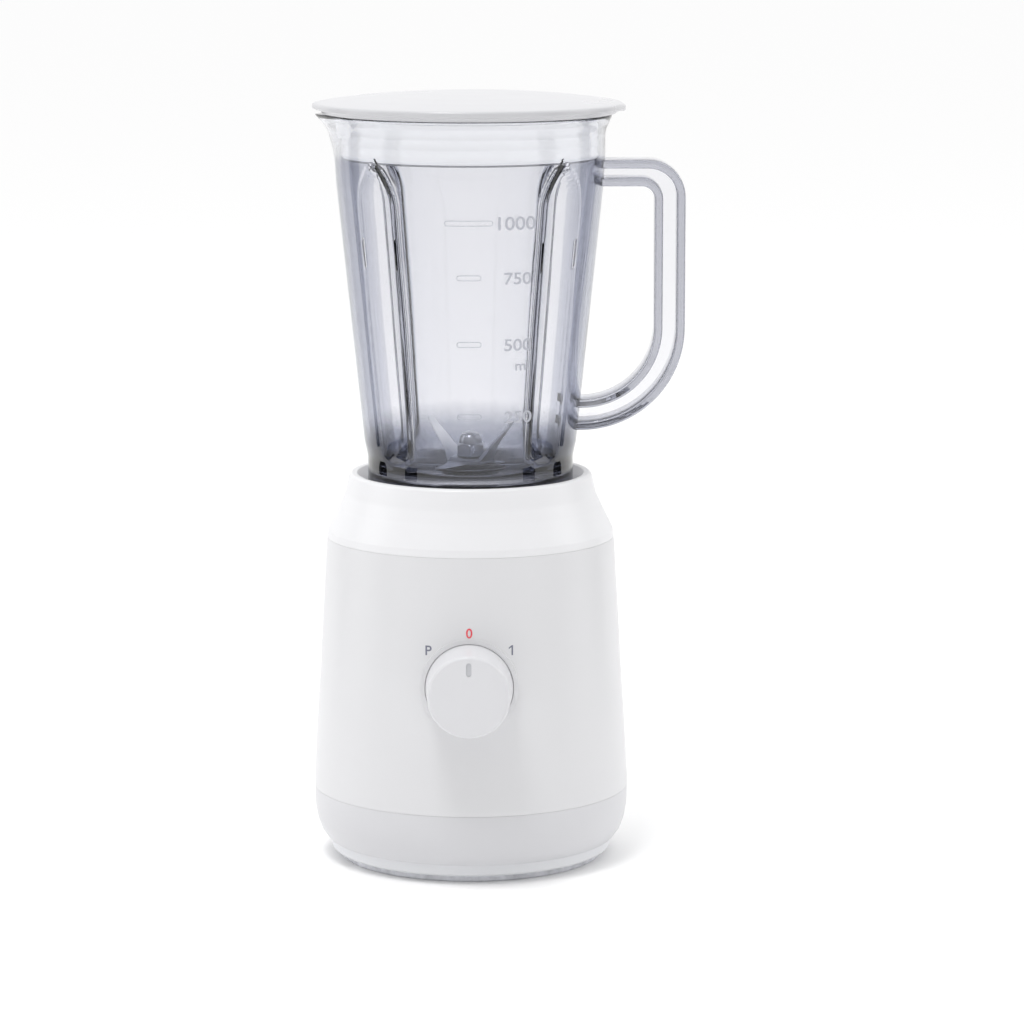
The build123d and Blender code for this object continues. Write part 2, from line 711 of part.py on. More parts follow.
def spout(shrink):
    """Pouring lip: stacked pointed outlines that run out into the neck."""
    levels = ((362 if shrink else JAR_TOP_Z, 74.2), (348.2, 71.6), (345.2, 69.0), (340.5, 66.6), (333.5, 63.8))
    sections = []
    for z, reach in levels:
        tip = reach - shrink * 1.25
        with BuildSketch(Plane.XY.offset(z)) as outline:
            with BuildLine():
                half = 12.5 + (reach - 62) * 1.25 - shrink
                Polyline((-40, -half - 7), (-57.5, -half), (-tip, -1.2), (-tip, 1.2), (-57.5, half), (-40, half + 7))
                Line((-40, half + 7), (-40, -half - 7))
            make_face()
        sections.append(outline.sketch)
    return loft(Sketch() + sections, ruled=True)


OUTSIDE = jar_shell(0, JAR_BOTTOM_Z, JAR_TOP_Z)
HOLLOW = jar_shell(JAR_WALL, JAR_FLOOR_Z, JAR_TOP_Z)
for angle in FLUTE_ANGLES:
    OUTSIDE -= flute(angle, 0)
    HOLLOW -= flute(angle, JAR_WALL)
with BuildPart() as jar:
    add(OUTSIDE)
    add(spout(0))
    add(handle)
    add(HOLLOW, mode=Mode.SUBTRACT)
    add(spout(2.4), mode=Mode.SUBTRACT)
    # hollow foot under the floor
    with Locations((0, 0, JAR_BOTTOM_Z)):
        Cylinder(SKIRT_IN_R, JAR_FLOOR_Z - JAR_FLOOR_T - JAR_BOTTOM_Z, align=UP, mode=Mode.SUBTRACT)
        Cylinder(10.1, 60, align=UP, mode=Mode.SUBTRACT)
    # lugs that stop the jar turning in the well
    with Locations((0, 0, JAR_BOTTOM_Z)):
        with PolarLocations(49.4, 4, start_angle=45):
            Box(3.6, 7.2, 15, align=UP)
keep(jar, "jar")

# ================================================================ jar floor and blade set
with BuildPart() as boss_gasket:
    tube(JAR_FLOOR_Z, JAR_FLOOR_Z + 1.4, 17, 10.1)
keep(boss_gasket, "boss_gasket")

with BuildPart() as blade_boss:
    tube(166, 186, 10, 6.5)
    tube(JAR_FLOOR_Z + 1.4, JAR_FLOOR_Z + 4.4, 16.5, 6.5)
    fillet(blade_boss.edges().group_by(Axis.Z)[-1].sort_by(SortBy.LENGTH)[-1], radius=1.5)
keep(blade_boss, "blade_boss")

with BuildPart() as boss_nut:
    with BuildSketch(Plane.XY.offset(170)):
        RegularPolygon(17, 6)
        Circle(10 + FIT, mode=Mode.SUBTRACT)
    extrude(amount=JAR_FLOOR_Z - JAR_FLOOR_T - 170)
keep(boss_nut, "boss_nut")

with BuildPart() as blade_bush:
    tube(167, 185.5, 6.5 - 0.02, SHAFT_R + FIT)
keep(blade_bush, "blade_bush")

with BuildPart() as blade_shaft:
    with Locations((0, 0, 160)):
        Cylinder(SHAFT_R, 41, align=UP)
    chamfer(blade_shaft.edges().filter_by(GeomType.CIRCLE), length=0.5)
keep(blade_shaft, "blade_shaft")

with BuildPart() as driven_coupling:
    tube(161.3, 164.3, COUPLING_R, SHAFT_R + 0.02)
    teeth(154.3, 161.3, 30)
    tube(160.4, 165, 7.4, SHAFT_R + 0.02)
keep(driven_coupling, "driven_coupling")

with BuildPart() as shaft_clip:
    with BuildSketch(Plane.XY.offset(165.2)):
        Circle(6.2)
        Circle(SHAFT_R + 0.02, mode=Mode.SUBTRACT)
        with Locations((5, 0)):
            Rectangle(6, 3.4, mode=Mode.SUBTRACT)
    extrude(amount=0.7)
keep(shaft_clip, "shaft_clip")


def blade(name, low, run, tip_x, tip_z, turn):
    """Two wings bent from one strip, tapered towards the tips and set on the shaft."""
    with BuildPart() as strip:
        with BuildSketch(Plane.XZ):
            with BuildLine():
                Polyline(
                    (-tip_x, tip_z),
                    (-run, low),
                    (run, low),
                    (tip_x, tip_z),
                    (tip_x - 1.4, tip_z + 0.9),
                    (run - 0.7, low + 1.6),
                    (-run + 0.7, low + 1.6),
                    (-tip_x + 1.4, tip_z + 0.9),
                    (-tip_x, tip_z),
                )
            make_face()
        extrude(amount=7, both=True)
        with BuildSketch(Plane.XY.offset(min(low, tip_z) - 2)):
            with BuildLine():
                Polyline((-tip_x - 1, -1.5), (-run, -6.6), (run, -6.6), (tip_x + 1, 1.5))
                Polyline((tip_x + 1, 1.5), (run, 6.6), (-run, 6.6), (-tip_x - 1, -1.5))
            make_face()
        extrude(amount=40, mode=Mode.INTERSECT)
        with Locations((0, 0, low - 2)):
            Cylinder(SHAFT_R + 0.02, 8, align=UP, mode=Mode.SUBTRACT)
    strip.part = strip.part.rotate(Axis.Z, turn) if turn else strip.part
    strip.part.label = name
    nodes.append(strip.part)


with BuildPart() as blade_washer:
    tube(186.2, 188, 6.5, SHAFT_R + 0.02)
keep(blade_washer, "blade_washer")
blade("lower_blade", 188, 9, 30, 184.6, 62)
blade("upper_blade", 189.7, 8, 22, 206, -30)

with BuildPart() as blade_nut:
    with BuildSketch(Plane.XY.offset(191.4)):
        RegularPolygon(7, 6)
    extrude(amount=5)
    with Locations((0, 0, 196.4)):
        Cylinder(5.4, 5.6, align=UP)
    fillet(blade_nut.edges().group_by(Axis.Z)[-1], radius=2.4)
    with Locations((0, 0, 191.4)):
        Cylinder(SHAFT_R + 0.02, 9.8, align=UP, mode=Mode.SUBTRACT)
keep(blade_nut, "blade_nut")

# ================================================================ lid
SPOUT_TIP = 74.6
CROWN_Z = 360.0
EDGE_Z = 355.0
with BuildPart() as lid:
    # round plate, drawn out to a point over the pouring lip
    with BuildSketch(Plane.XY.offset(LID_UNDER_Z)) as plan:
        Circle(LID_R)
        with Locations((3 - SPOUT_TIP, 0)):
            Circle(3)
        make_hull(plan.edges())
    extrude(amount=20)
    # shallow crown
    with BuildSketch(Plane.XZ):
        with BuildLine():
            ThreePointArc((0, CROWN_Z), (45, 358.2), (78, EDGE_Z - 0.6))
            Polyline((78, EDGE_Z - 0.6), (78, 340), (0, 340), (0, CROWN_Z))
        make_face()
    revolve(axis=Axis.Z, mode=Mode.INTERSECT)
    fillet(lid.faces().sort_by(Axis.Z)[0].outer_wire().edges(), radius=1.2)
    # plug that goes down inside the jar's neck
    tube(PLUG_Z, LID_UNDER_Z + 0.5, PLUG_R, PLUG_R - 2.4)
    with Locations((0, 0, LID_UNDER_Z)):
        Cylinder(PLUG_R - 2.4, 4.4, align=UP, mode=Mode.SUBTRACT)
    # thumb lip over the handle
    with BuildSketch(Plane.XY.offset(347.6)):
        with Locations((LID_R - 1.2, 0)):
            RectangleRounded(4, 17, 1.8)
    extrude(amount=5)
keep(lid, "lid")

BEADS = (331.9, 336.9, 341.9, 346.9)
with BuildPart() as lid_gasket:
    tube(330.6, 348.6, 58.9, PLUG_R + FIT)
    for z in BEADS:
        tube(z - 0.7, z + 0.7, 59.6, PLUG_R + FIT)
keep(lid_gasket, "lid_gasket")

os.makedirs("parts", exist_ok=True)
for piece in nodes:
    export_step(piece, f"parts/{piece.label}.step")
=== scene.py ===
import json
import math

import bmesh
import bpy
from mathutils import Matrix, Vector

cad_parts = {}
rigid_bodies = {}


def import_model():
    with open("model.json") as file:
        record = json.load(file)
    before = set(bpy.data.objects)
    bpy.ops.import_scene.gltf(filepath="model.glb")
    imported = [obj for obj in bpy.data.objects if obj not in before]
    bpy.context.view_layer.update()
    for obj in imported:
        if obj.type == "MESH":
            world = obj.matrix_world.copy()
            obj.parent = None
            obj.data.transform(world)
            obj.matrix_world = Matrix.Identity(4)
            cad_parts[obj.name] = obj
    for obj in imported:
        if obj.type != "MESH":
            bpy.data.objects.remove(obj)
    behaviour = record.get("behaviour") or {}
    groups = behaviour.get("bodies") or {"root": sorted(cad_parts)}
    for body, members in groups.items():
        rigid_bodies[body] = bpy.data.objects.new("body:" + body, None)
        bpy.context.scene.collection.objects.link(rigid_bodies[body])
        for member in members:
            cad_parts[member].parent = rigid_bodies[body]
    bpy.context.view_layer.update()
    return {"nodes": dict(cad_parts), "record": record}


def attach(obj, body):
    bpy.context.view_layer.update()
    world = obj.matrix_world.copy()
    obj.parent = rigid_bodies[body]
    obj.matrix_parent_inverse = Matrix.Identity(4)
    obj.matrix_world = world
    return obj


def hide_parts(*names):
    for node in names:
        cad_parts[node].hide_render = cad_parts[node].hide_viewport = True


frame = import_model()

bl_info = {
    "name": "Countertop Blender",
    "version": (1, 0, 0),
    "blender": (4, 5, 0),
    "location": "View3D > Sidebar > Blender",
    "description": "Dresses a countertop blender: clear fluted jar, lid, motor base, knob and blades",
    "category": "Add Mesh",
}

MM = 0.001
RINGS = 256  # steps round a full turn of the large pieces
KNOB_HEIGHT = 93  # height of the knob's axis in millimetres
GLAND_HEIGHT = 52  # height of the cord gland's axis
ABS_INDEX = 1.53  # refractive indices
PC_INDEX = 1.58
WAVE_SCALE = 50.0  # a wave texture of this scale repeats every 6.3 mm


# ------------------------------------------------------------------ small tools
def linear(text):
    """An sRGB hex colour as linear red, green, blue, alpha."""
    parts = [int(text[i : i + 2], 16) / 255 for i in (1, 3, 5)]
    return (*[c / 12.92 if c <= 0.04045 else ((c + 0.055) / 1.055) ** 2.4 for c in parts], 1.0)


def add(tree, kind, values=(), links=(), **settings):
    """Adds one node with its settings, input values and incoming links, and returns it."""
    made = tree.nodes.new(kind)
    for key, value in settings.items():
        setattr(made, key, value)
    for key, value in dict(values).items():
        made.inputs[key].default_value = value
    for key, socket in dict(links).items():
        tree.links.new(socket, made.inputs[key])
    return made


def new_material(name):
    """An empty node material with a shader, its output and the piece's own coordinates."""
    made = bpy.data.materials.new(name)
    made.use_nodes = True
    tree = made.node_tree
    tree.nodes.clear()
    surface = add(tree, "ShaderNodeBsdfPrincipled")
    add(tree, "ShaderNodeOutputMaterial", links={"Surface": surface.outputs["BSDF"]})
    place = add(tree, "ShaderNodeTexCoord").outputs["Object"]
    return made, tree, surface, place


def dress(tree, surface, values):
    """Sets the shader's inputs; a socket among the values is linked."""
    for key, value in values.items():
        if isinstance(value, bpy.types.NodeSocket):
            tree.links.new(value, surface.inputs[key])
        else:
            surface.inputs[key].default_value = value


def cloud(tree, place, size, detail, roughness=0.5):
    """Noise with patches about that size in metres."""
    values = {"Scale": 1 / size, "Detail": detail, "Roughness": roughness}
    return add(tree, "ShaderNodeTexNoise", values, {"Vector": place}).outputs["Fac"]


def cells(tree, place, size):
    """Distance to the nearest of scattered points, about that far apart in metres."""
    return add(tree, "ShaderNodeTexVoronoi", {"Scale": 1 / size}, {"Vector": place}).outputs["Distance"]


def bumped(tree, surface, strength, distance, height):
    """Gives the shader a shallow relief and returns its normal."""
    relief = add(tree, "ShaderNodeBump", {"Strength": strength, "Distance": distance}, {"Height": height})
    tree.links.new(relief.outputs["Normal"], surface.inputs["Normal"])
    return relief.outputs["Normal"]


def ramp(tree, source, stops):
    """Colour ramp set from (position, colour) pairs."""
    made = add(tree, "ShaderNodeValToRGB", links={"Fac": source})
    line = made.color_ramp
    line.elements[0].position, line.elements[0].color = stops[0]
    line.elements[1].position, line.elements[1].color = stops[-1]
    for position, colour in stops[1:-1]:
        line.elements.new(position).color = colour
    return made.outputs["Color"]


def shades(*pairs):
    """Ramp stops from (position, sRGB hex) pairs."""
    return [(at, linear(text)) for at, text in pairs]


def greys(*pairs):
    """Ramp stops from (position, grey level) pairs."""
    return [(at, (level, level, level, 1)) for at, level in pairs]


def tone(low, high):
    """Two grey levels as ramp stops."""
    return greys((0.0, low), (1.0, high))


def rounded(points, steps=6):
    """An outline from (r, z) or (r, z, radius) corners; corners with a radius become arcs."""
    result = []
    count = len(points)
    for index, corner in enumerate(points):
        here = Vector(corner[:2])
        if len(corner) < 3 or index in (0, count - 1):
            result.append(tuple(here))
            continue
        before = (Vector(points[index - 1][:2]) - here).normalized()
        after = (Vector(points[index + 1][:2]) - here).normalized()
        half = before.angle(after) / 2
        reach = corner[2] / math.tan(half)
        centre = here + (before + after).normalized() * corner[2] / math.sin(half)
        start, end = here + before * reach, here + after * reach
        for step in range(steps + 1):
            ray = (start - centre).lerp(end - centre, step / steps).normalized()
            result.append(tuple(centre + ray * corner[2]))
    return result


def dense(points, step):
    """The same outline with long runs divided, so that the wall can be shaped between them."""
    result = []
    for first, second in zip(points, points[1:]):
        pieces = max(1, math.ceil(math.dist(first, second) / step))
        result += [tuple(Vector(first).lerp(Vector(second), i / pieces)) for i in range(pieces)]
    return result + [points[-1]]


def spun(points, closed=False, steps=RINGS):
    """A bmesh turned about Z from an outline of (r, z) in millimetres."""
    bm = bmesh.new()
    verts = [bm.verts.new((max(r, 0) * MM, 0, z * MM)) for r, z in points]
    pairs = list(zip(verts, verts[1:])) + ([(verts[-1], verts[0])] if closed else [])
    edges = [bm.edges.new(pair) for pair in pairs]
    bmesh.ops.spin(
        bm, geom=verts + edges, cent=(0, 0, 0), axis=(0, 0, 1), angle=math.tau, steps=steps, use_merge=True
    )
    bmesh.ops.remove_doubles(bm, verts=bm.verts, dist=1e-7)
    bmesh.ops.recalc_face_normals(bm, faces=bm.faces)
    return bm


def turned(bm, degrees, axis, verts=None):
    """Turns a bmesh, or some of its vertices, about an axis through the origin."""
    turn = Matrix.Rotation(math.radians(degrees), 3, axis)
    bmesh.ops.rotate(bm, verts=verts or bm.verts, cent=(0, 0, 0), matrix=turn)


def towards_front(bm, z):
    """Turns a piece made about Z so that its axis runs along -Y at height z in millimetres."""
    turned(bm, 90, "X")
    bmesh.ops.translate(bm, verts=bm.verts, vec=(0, 0, z * MM))


def widened(vert, ratio):
    """Moves a vertex away from the Z axis by a ratio, at its height."""
    vert.co.x *= ratio
    vert.co.y *= ratio


def verts_in(geometry):
    """The vertices among what an operator gives back."""
    return [item for item in geometry if isinstance(item, bmesh.types.BMVert)]


def finished(name, bm, material, body, stands_for=(), smooth=35, slot=None):
    """Makes the object from a bmesh, shades it, gives it its finish and hangs it on its body."""
    mesh = bpy.data.meshes.new(name)
    bm.to_mesh(mesh)
    bm.free()
    mesh.shade_smooth()
    mesh.set_sharp_from_angle(angle=math.radians(smooth))
    mesh.materials.clear()
    mesh.materials.append(material)
    piece = bpy.data.objects.new(name, mesh)
    bpy.context.scene.collection.objects.link(piece)
    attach(piece, body)
    if stands_for:
        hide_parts(*stands_for)
    return piece


def combined(first, others, operation):
    """Boolean of closed bmeshes; returns a new bmesh and frees the others."""
    scene = bpy.context.scene.collection.objects
    made = []
    for index, bm in enumerate([first, *others]):
        mesh = bpy.data.meshes.new("operand")
        bm.to_mesh(mesh)
        bm.free()
        made.append(bpy.data.objects.new("operand", mesh))
        scene.link(made[-1])
    for other in made[1:]:
        step = made[0].modifiers.new("cut", "BOOLEAN")
        step.operation = operation
        step.solver = "MANIFOLD"
        step.object = other
    bpy.context.view_layer.update()
    graph = bpy.context.evaluated_depsgraph_get()
    result = bpy.data.meshes.new_from_object(made[0].evaluated_get(graph))
    if not result.polygons:
        raise RuntimeError("a boolean left nothing")
    bm = bmesh.new()
    bm.from_mesh(result)
    for piece in made:
        mesh = piece.data
        bpy.data.objects.remove(piece)
        bpy.data.meshes.remove(mesh)
    bpy.data.meshes.remove(result)
    return bm


def smoothstep(value):
    """Eased 0 to 1."""
    value = min(max(value, 0.0), 1.0)
    return value * value * (3 - 2 * value)


def between(value, table):
    """Straight-line look-up in (x, y) pairs sorted by x."""
    if value <= table[0][0]:
        return table[0][1]
    for (x0, y0), (x1, y1) in zip(table, table[1:]):
        if value <= x1:
            return y0 + (y1 - y0) * (value - x0) / (x1 - x0)
    return table[-1][1]


# ------------------------------------------------------------------ finishes
def white_abs(name, colour, rough, grain=0.35):
    """ABS, injection moulded in a fine-textured tool: satin, with a very shallow even grain."""
    made, tree, surface, place = new_material(name)
    # the grain is spark-eroded at about 0.1 mm; drawn at 0.5 mm so that it shows
    bumped(tree, surface, grain * 0.2, 0.00005, cloud(tree, place, 0.0005, 3, 0.6))
    # slow drift in gloss from the way the melt flowed, about 40 mm across
    gloss = ramp(tree, cloud(tree, place, 0.04, 2), tone(rough - 0.03, rough + 0.04))
    dress(tree, surface, {"Roughness": gloss, "Base Color": linear(colour), "IOR": ABS_INDEX})
    return made


def clear_polycarbonate(tint):
    """Polycarbonate, polished tool: glass-clear with a faint cool tint, slight flow ripples, and painted
    shade where the wall is seen edge-on and near its foot.
    """
    made, tree, surface, place = new_material("clear_polycarbonate")
    # sink and flow ripples about 25 mm apart, a few hundredths of a millimetre deep
    normal = bumped(tree, surface, 0.25, 0.0004, cloud(tree, place, 0.025, 1))
    # painted shade: towards edge-on the colour turns dark grey-blue; the longer path deepens the real tint a
    # little, the rest stands in for dark surroundings seen in the wall
    facing = add(tree, "ShaderNodeLayerWeight", {"Blend": 0.5}, {"Normal": normal}).outputs["Facing"]
    edge = shades((0.0, tint), (0.25, "#f0f1f5"), (0.5, "#c9ccd8"), (0.75, "#9498a9"), (1.0, "#5a5f74"))
    wall = ramp(tree, facing, edge)
    # the plastic itself is blue-grey: clear through the wall, dark through a flange seen edge-on
    body = add(tree, "ShaderNodeVolumeAbsorption", {"Color": (0.58, 0.59, 0.645, 1), "Density": 72.0})
    output = next(node for node in tree.nodes if node.type == "OUTPUT_MATERIAL")
    tree.links.new(body.outputs["Volume"], output.inputs["Volume"])
    # and the wall thickens into the foot, where painted shade darkens it: clear above 210 mm, darkest about
    # 194 mm, with upright streaks
    height = add(tree, "ShaderNodeSeparateXYZ", links={"Vector": place}).outputs["Z"]
    drawn = add(tree, "ShaderNodeMapping", {"Scale": (1, 1, 0.12)}, {"Vector": place}).outputs["Vector"]
    streak = cloud(tree, drawn, 0.004, 2)
    wander = add(tree, "ShaderNodeMath", {1: 0.006, 2: -0.003}, {0: streak}, operation="MULTIPLY_ADD")
    level = add(tree, "ShaderNodeMath", {}, {0: height, 1: wander.outputs["Value"]}, operation="ADD")
    limits = {"From Min": 0.180, "From Max": 0.210}
    share = add(tree, "ShaderNodeMapRange", limits, {"Value": level.outputs["Value"]})
    # painted shade near the foot, from pale grey-blue to nearly black as the wall turns edge-on
    thick = shades((0.0, "#a9adbb"), (0.3, "#7b7f90"), (0.5, "#343844"), (1.0, "#101218"))
    foot = ramp(tree, facing, thick)
    clear = greys((0.0, 1.0), (0.15, 0.6), (0.35, 0.0), (0.6, 0.1), (1.0, 1.0))
    part = ramp(tree, share.outputs["Result"], clear)
    tint_and_painted_shade = add(tree, "ShaderNodeMix", {}, {"Factor": part, "A": foot, "B": wall}, data_type="RGBA")
    # the painted shade and tint fade above 331 mm, so that the lid's plug shows pale through the neck
    limits = {"From Min": 0.329, "From Max": 0.333, "To Max": 0.8}
    neck = add(tree, "ShaderNodeMapRange", limits, {"Value": height})
    mixed = {"Factor": neck.outputs["Result"], "A": tint_and_painted_shade.outputs["Result"]}
    colour = add(tree, "ShaderNodeMix", {"B": (1, 1, 1, 1)}, mixed, data_type="RGBA")
    look = {"Base Color": colour.outputs["Result"], "Roughness": 0.015, "IOR": PC_INDEX}
    dress(tree, surface, {**look, "Transmission Weight": 1.0})
    return made


def frosted_mark():
    """Raised volume marks: the same plastic, lightly etched, so that it scatters pale grey."""
    made, tree, surface, place = new_material("etched_polycarbonate_mark")
    bumped(tree, surface, 0.2, 0.00005, cloud(tree, place, 0.0004, 2))
    dress(tree, surface, {"Base Color": linear("#b4b6bf"), "Roughness": 0.35, "IOR": PC_INDEX})
    return made


def silicone(name, colour, painted_glow=0.0):
    """Silicone rubber, moulded: milky, soft sheen, a little light passes into it."""
    made, tree, surface, place = new_material(name)
    gloss = ramp(tree, cloud(tree, place, 0.0012, 2), tone(0.42, 0.52))
    dress(tree, surface, {"Roughness": gloss, "Base Color": linear(colour), "IOR": 1.41})
    scatter = {"Weight": 0.2, "Scale": 0.002, "Radius": (1.0, 1.0, 1.0)}
    dress(tree, surface, {f"Subsurface {key}": value for key, value in scatter.items()})
    # painted light: a glow brightens the rubber, standing in for the light that the jar's wall keeps from it
    dress(tree, surface, {"Emission Color": linear(colour), "Emission Strength": painted_glow})
    return made


def printed_ink(name, colour):
    """Pad-printed ink: thin, matt, with tiny pinholes in its edge tone."""
    made, tree, surface, place = new_material(name)
    base = linear(colour)
    light = tuple(min(1, c * 1.25 + 0.01) for c in base[:3]) + (1,)
    speckled = ramp(tree, cloud(tree, place, 0.0003, 2), [(0.35, base), (0.8, light)])
    dress(tree, surface, {"Base Color": speckled, "Roughness": 0.45})
    return made


def moulded_rubber(name, colour):
    """Rubber, compression moulded: matt, slightly uneven, with a fine bloom on the surface."""
    made, tree, surface, place = new_material(name)
    base = linear(colour)
    dusty = tuple(c * 1.5 + 0.01 for c in base[:3]) + (1,)
    bloom = ramp(tree, cloud(tree, place, 0.006, 4), [(0.3, base), (0.8, dusty)])
    bumped(tree, surface, 0.3, 0.00006, cloud(tree, place, 0.0004, 2))
    dress(tree, surface, {"Base Color": bloom, "Roughness": 0.8, "IOR": 1.52})
    return made


def nylon(name, colour, rough):
    """Nylon, PBT or acetal, injection moulded: satin, with short flecks as of glass fibres."""
    made, tree, surface, place = new_material(name)
    fibre = cells(tree, place, 0.0008)
    base = linear(colour)
    light = tuple(c * 1.6 + 0.004 for c in base[:3]) + (1,)
    flecked = ramp(tree, fibre, [(0.0, light), (0.35, base)])
    gloss = ramp(tree, fibre, tone(rough - 0.05, rough + 0.08))
    dress(tree, surface, {"Base Color": flecked, "Roughness": gloss, "IOR": ABS_INDEX})
    return made


def ground_steel(name, colour, rough, direction=(1, 1, 30)):
    """Metal, ground, brushed or turned: fine grooves across the axis with the largest factor."""
    made, tree, surface, place = new_material(name)
    along = add(tree, "ShaderNodeMapping", {"Scale": direction}, {"Vector": place}).outputs["Vector"]
    # grinding marks are 0.02 mm apart; drawn 3 mm apart divided by the factor of each axis
    marks = cloud(tree, along, 0.003, 4)
    bumped(tree, surface, 0.15, 0.00003, marks)
    gloss = ramp(tree, marks, tone(rough - 0.08, rough + 0.1))
    dress(tree, surface, {"Roughness": gloss, "Base Color": linear(colour), "Metallic": 1.0})
    return made


def laminated_steel():
    """Silicon-steel sheets in a stack: dark bluish edges with lines across it."""
    made, tree, surface, place = new_material("laminated_silicon_steel")
    # the sheets are 0.5 mm thick; drawn as waves 6.3 mm apart so that the stack still reads
    values = {"Scale": WAVE_SCALE, "Distortion": 0.3}
    sheets = add(tree, "ShaderNodeTexWave", values, {"Vector": place}, bands_direction="Z").outputs["Color"]
    bumped(tree, surface, 0.5, 0.0001, sheets)
    lined = ramp(tree, sheets, shades((0.2, "#3c3f45"), (0.8, "#7d828a")))
    dress(tree, surface, {"Base Color": lined, "Metallic": 0.9, "Roughness": 0.45})
    return made


def enamelled_wire(name, direction):
    """Enamelled copper wire, wound side by side: warm, glossy, drawn as ribs 6.3 mm apart."""
    made, tree, surface, place = new_material(name)
    values = {"Scale": WAVE_SCALE, "Distortion": 1.5, "Detail": 2}
    turns = add(tree, "ShaderNodeTexWave", values, {"Vector": place}, bands_direction=direction)
    turns = turns.outputs["Color"]
    bumped(tree, surface, 0.6, 0.0002, turns)
    ribbed = ramp(tree, turns, shades((0.1, "#5a2412"), (0.75, "#c4703a")))
    dress(tree, surface, {"Base Color": ribbed, "Metallic": 0.7, "Roughness": 0.3})
    return made


def cast_alloy():
    """Aluminium, die-cast: pale grey, slightly grainy, soft highlights."""
    made, tree, surface, place = new_material("die_cast_aluminium")
    grain = cloud(tree, place, 0.0015, 5)
    bumped(tree, surface, 0.4, 0.0001, grain)
    mottled = ramp(tree, grain, shades((0.3, "#9a9ca0"), (0.7, "#b9bbc0")))
    dress(tree, surface, {"Base Color": mottled, "Metallic": 1.0, "Roughness": 0.5})
    return made


def graphite():
    """Carbon brush: pressed graphite, nearly black with a dull grey lustre."""
    made, tree, surface, place = new_material("pressed_graphite")
    grains = ramp(tree, cloud(tree, place, 0.0005, 4), shades((0.35, "#1b1b1e"), (0.75, "#3a3a3f")))
    dress(tree, surface, {"Base Color": grains, "Metallic": 0.3, "Roughness": 0.55})
    return made


def sintered_bronze():
    """Sintered bronze bush: warm, porous, oil-dark in the pores."""
    made, tree, surface, place = new_material("sintered_bronze")
    pores = ramp(tree, cells(tree, place, 0.0006), shades((0.05, "#5d4022"), (0.3, "#b08a4e")))
    dress(tree, surface, {"Base Color": pores, "Metallic": 1.0, "Roughness": 0.4})
    return made


# ------------------------------------------------------------------ the jar's shape
# (height, radius) of the outer wall, and how far the pouring lip reaches at each height
OUTSIDE_WALL = [
    (190.5, 48.1), (197.5, 49.6), (318, 62.1), (331, 62.9), (341.2, 62.9), (346, 64.6), (350, 65.8)
]
SPOUT_REACH = [
    (328, 62.7), (333, 64.1), (340.5, 66.4), (342.5, 67.4), (345.2, 69.2), (348, 71.5), (350.1, 74.0)
]
FLUTE_FOOT, FLUTE_HEAD, FLUTE_TIP = 190, 311, 18  # where the flutes start and narrow, and their tips' length
HANDLE_X, HANDLE_Z = 51.8, 251.4  # centre of the handle's large bend
HANDLE_ROOT = 60.9  # where its upper arm starts
WEB_HALF, FLANGE = 1.3, 9.3  # half the web's thickness, and how far the flanges stand out of it
# its edge lines from outside to inside: radius of the bend, top, radius of the corner, end of the lower arm
HANDLE_LINES = (
    (48.0, 329.2, 17.0, 48.2), (44.1, 325.3, 13.1, 48.6), (37.6, 321.0, 9.8, 49.2), (33.8, 317.1, 6.0, 49.6)
)


def groove(around, z, radius, wider):
    """How far the nearest flute presses the wall in, in millimetres, at an angle and height."""
    tip = (z - FLUTE_HEAD) / (FLUTE_TIP + wider)
    if tip >= 1 or z <= FLUTE_FOOT:
        return 0.0
    narrow = 1 - max(tip, 0) ** 1.9
    half = (9.4 + 1.4 * min(z - 197, 60) / 60 + wider) * narrow
    away = abs(math.degrees(around) % 90 - 45) * math.pi / 180 * radius / max(half, 0.1)
    if away >= 1:
        return 0.0
    depth = shape().flute_depth / MM * narrow**0.6 * smoothstep((z - FLUTE_FOOT) / 12)
    return depth * (0.5 + 0.5 * math.cos(math.pi * away**1.5))


def spout(around, z, radius):
    """Radius of the neck drawn out to the lip: straight lines from the tip that just touch the neck."""
    ratio = between(z, SPOUT_REACH) / between(z, OUTSIDE_WALL)
    if ratio <= 1.0005:
        return radius
    swing = math.acos(1 / ratio)
    away = math.pi - abs(math.remainder(around, math.tau))
    if away >= swing:
        return radius
    soft = 0.055 * min(1, swing / 0.2)
    return radius / math.cos(max(swing - math.sqrt(away * away + soft * soft), 0.0))


def shaped_wall(bm):
    """Presses the flutes into both faces of the wall and draws out the pouring lip."""
    for vert in bm.verts:
        x, y, z = (value / MM for value in vert.co)
        radius = math.hypot(x, y)
        if z < 183 or radius < 30:
            continue
        outer = between(z, OUTSIDE_WALL)
        inside = radius < outer - 1.2
        around = math.atan2(y, x)
        new = radius - groove(around, z, outer, 2.4 if inside else 0.0)
        if z > 328:
            new = spout(around, z, new)
        widened(vert, new / radius)


def handle_line(bm, bend, top, corner, x_low):
    """One curved edge line of the handle, from the neck round to the foot of the jar."""
    line = [bm.verts.new((HANDLE_ROOT * MM, 0, top * MM))]

    def stretch(vec):
        got = bmesh.ops.extrude_vert_indiv(bm, verts=[line[-1]])["verts"]
        bmesh.ops.translate(bm, verts=got, vec=Vector(vec) * MM)
        line.append(got[0])

    def swing(centre, steps):
        turn = Matrix.Rotation(math.radians(90 / steps), 3, "Y")
        for _ in range(steps):
            got = bmesh.ops.extrude_vert_indiv(bm, verts=[line[-1]])["verts"]
            bmesh.ops.rotate(bm, verts=got, cent=Vector(centre) * MM, matrix=turn)
            line.append(got[0])

    right = HANDLE_X + bend
    stretch((right - corner - HANDLE_ROOT, 0, 0))
    swing((right - corner, 0, top - corner), 10)
    stretch((0, 0, HANDLE_Z - (top - corner)))
    swing((HANDLE_X, 0, HANDLE_Z), 24)
    stretch((x_low - HANDLE_X, 0, 0))
    return line


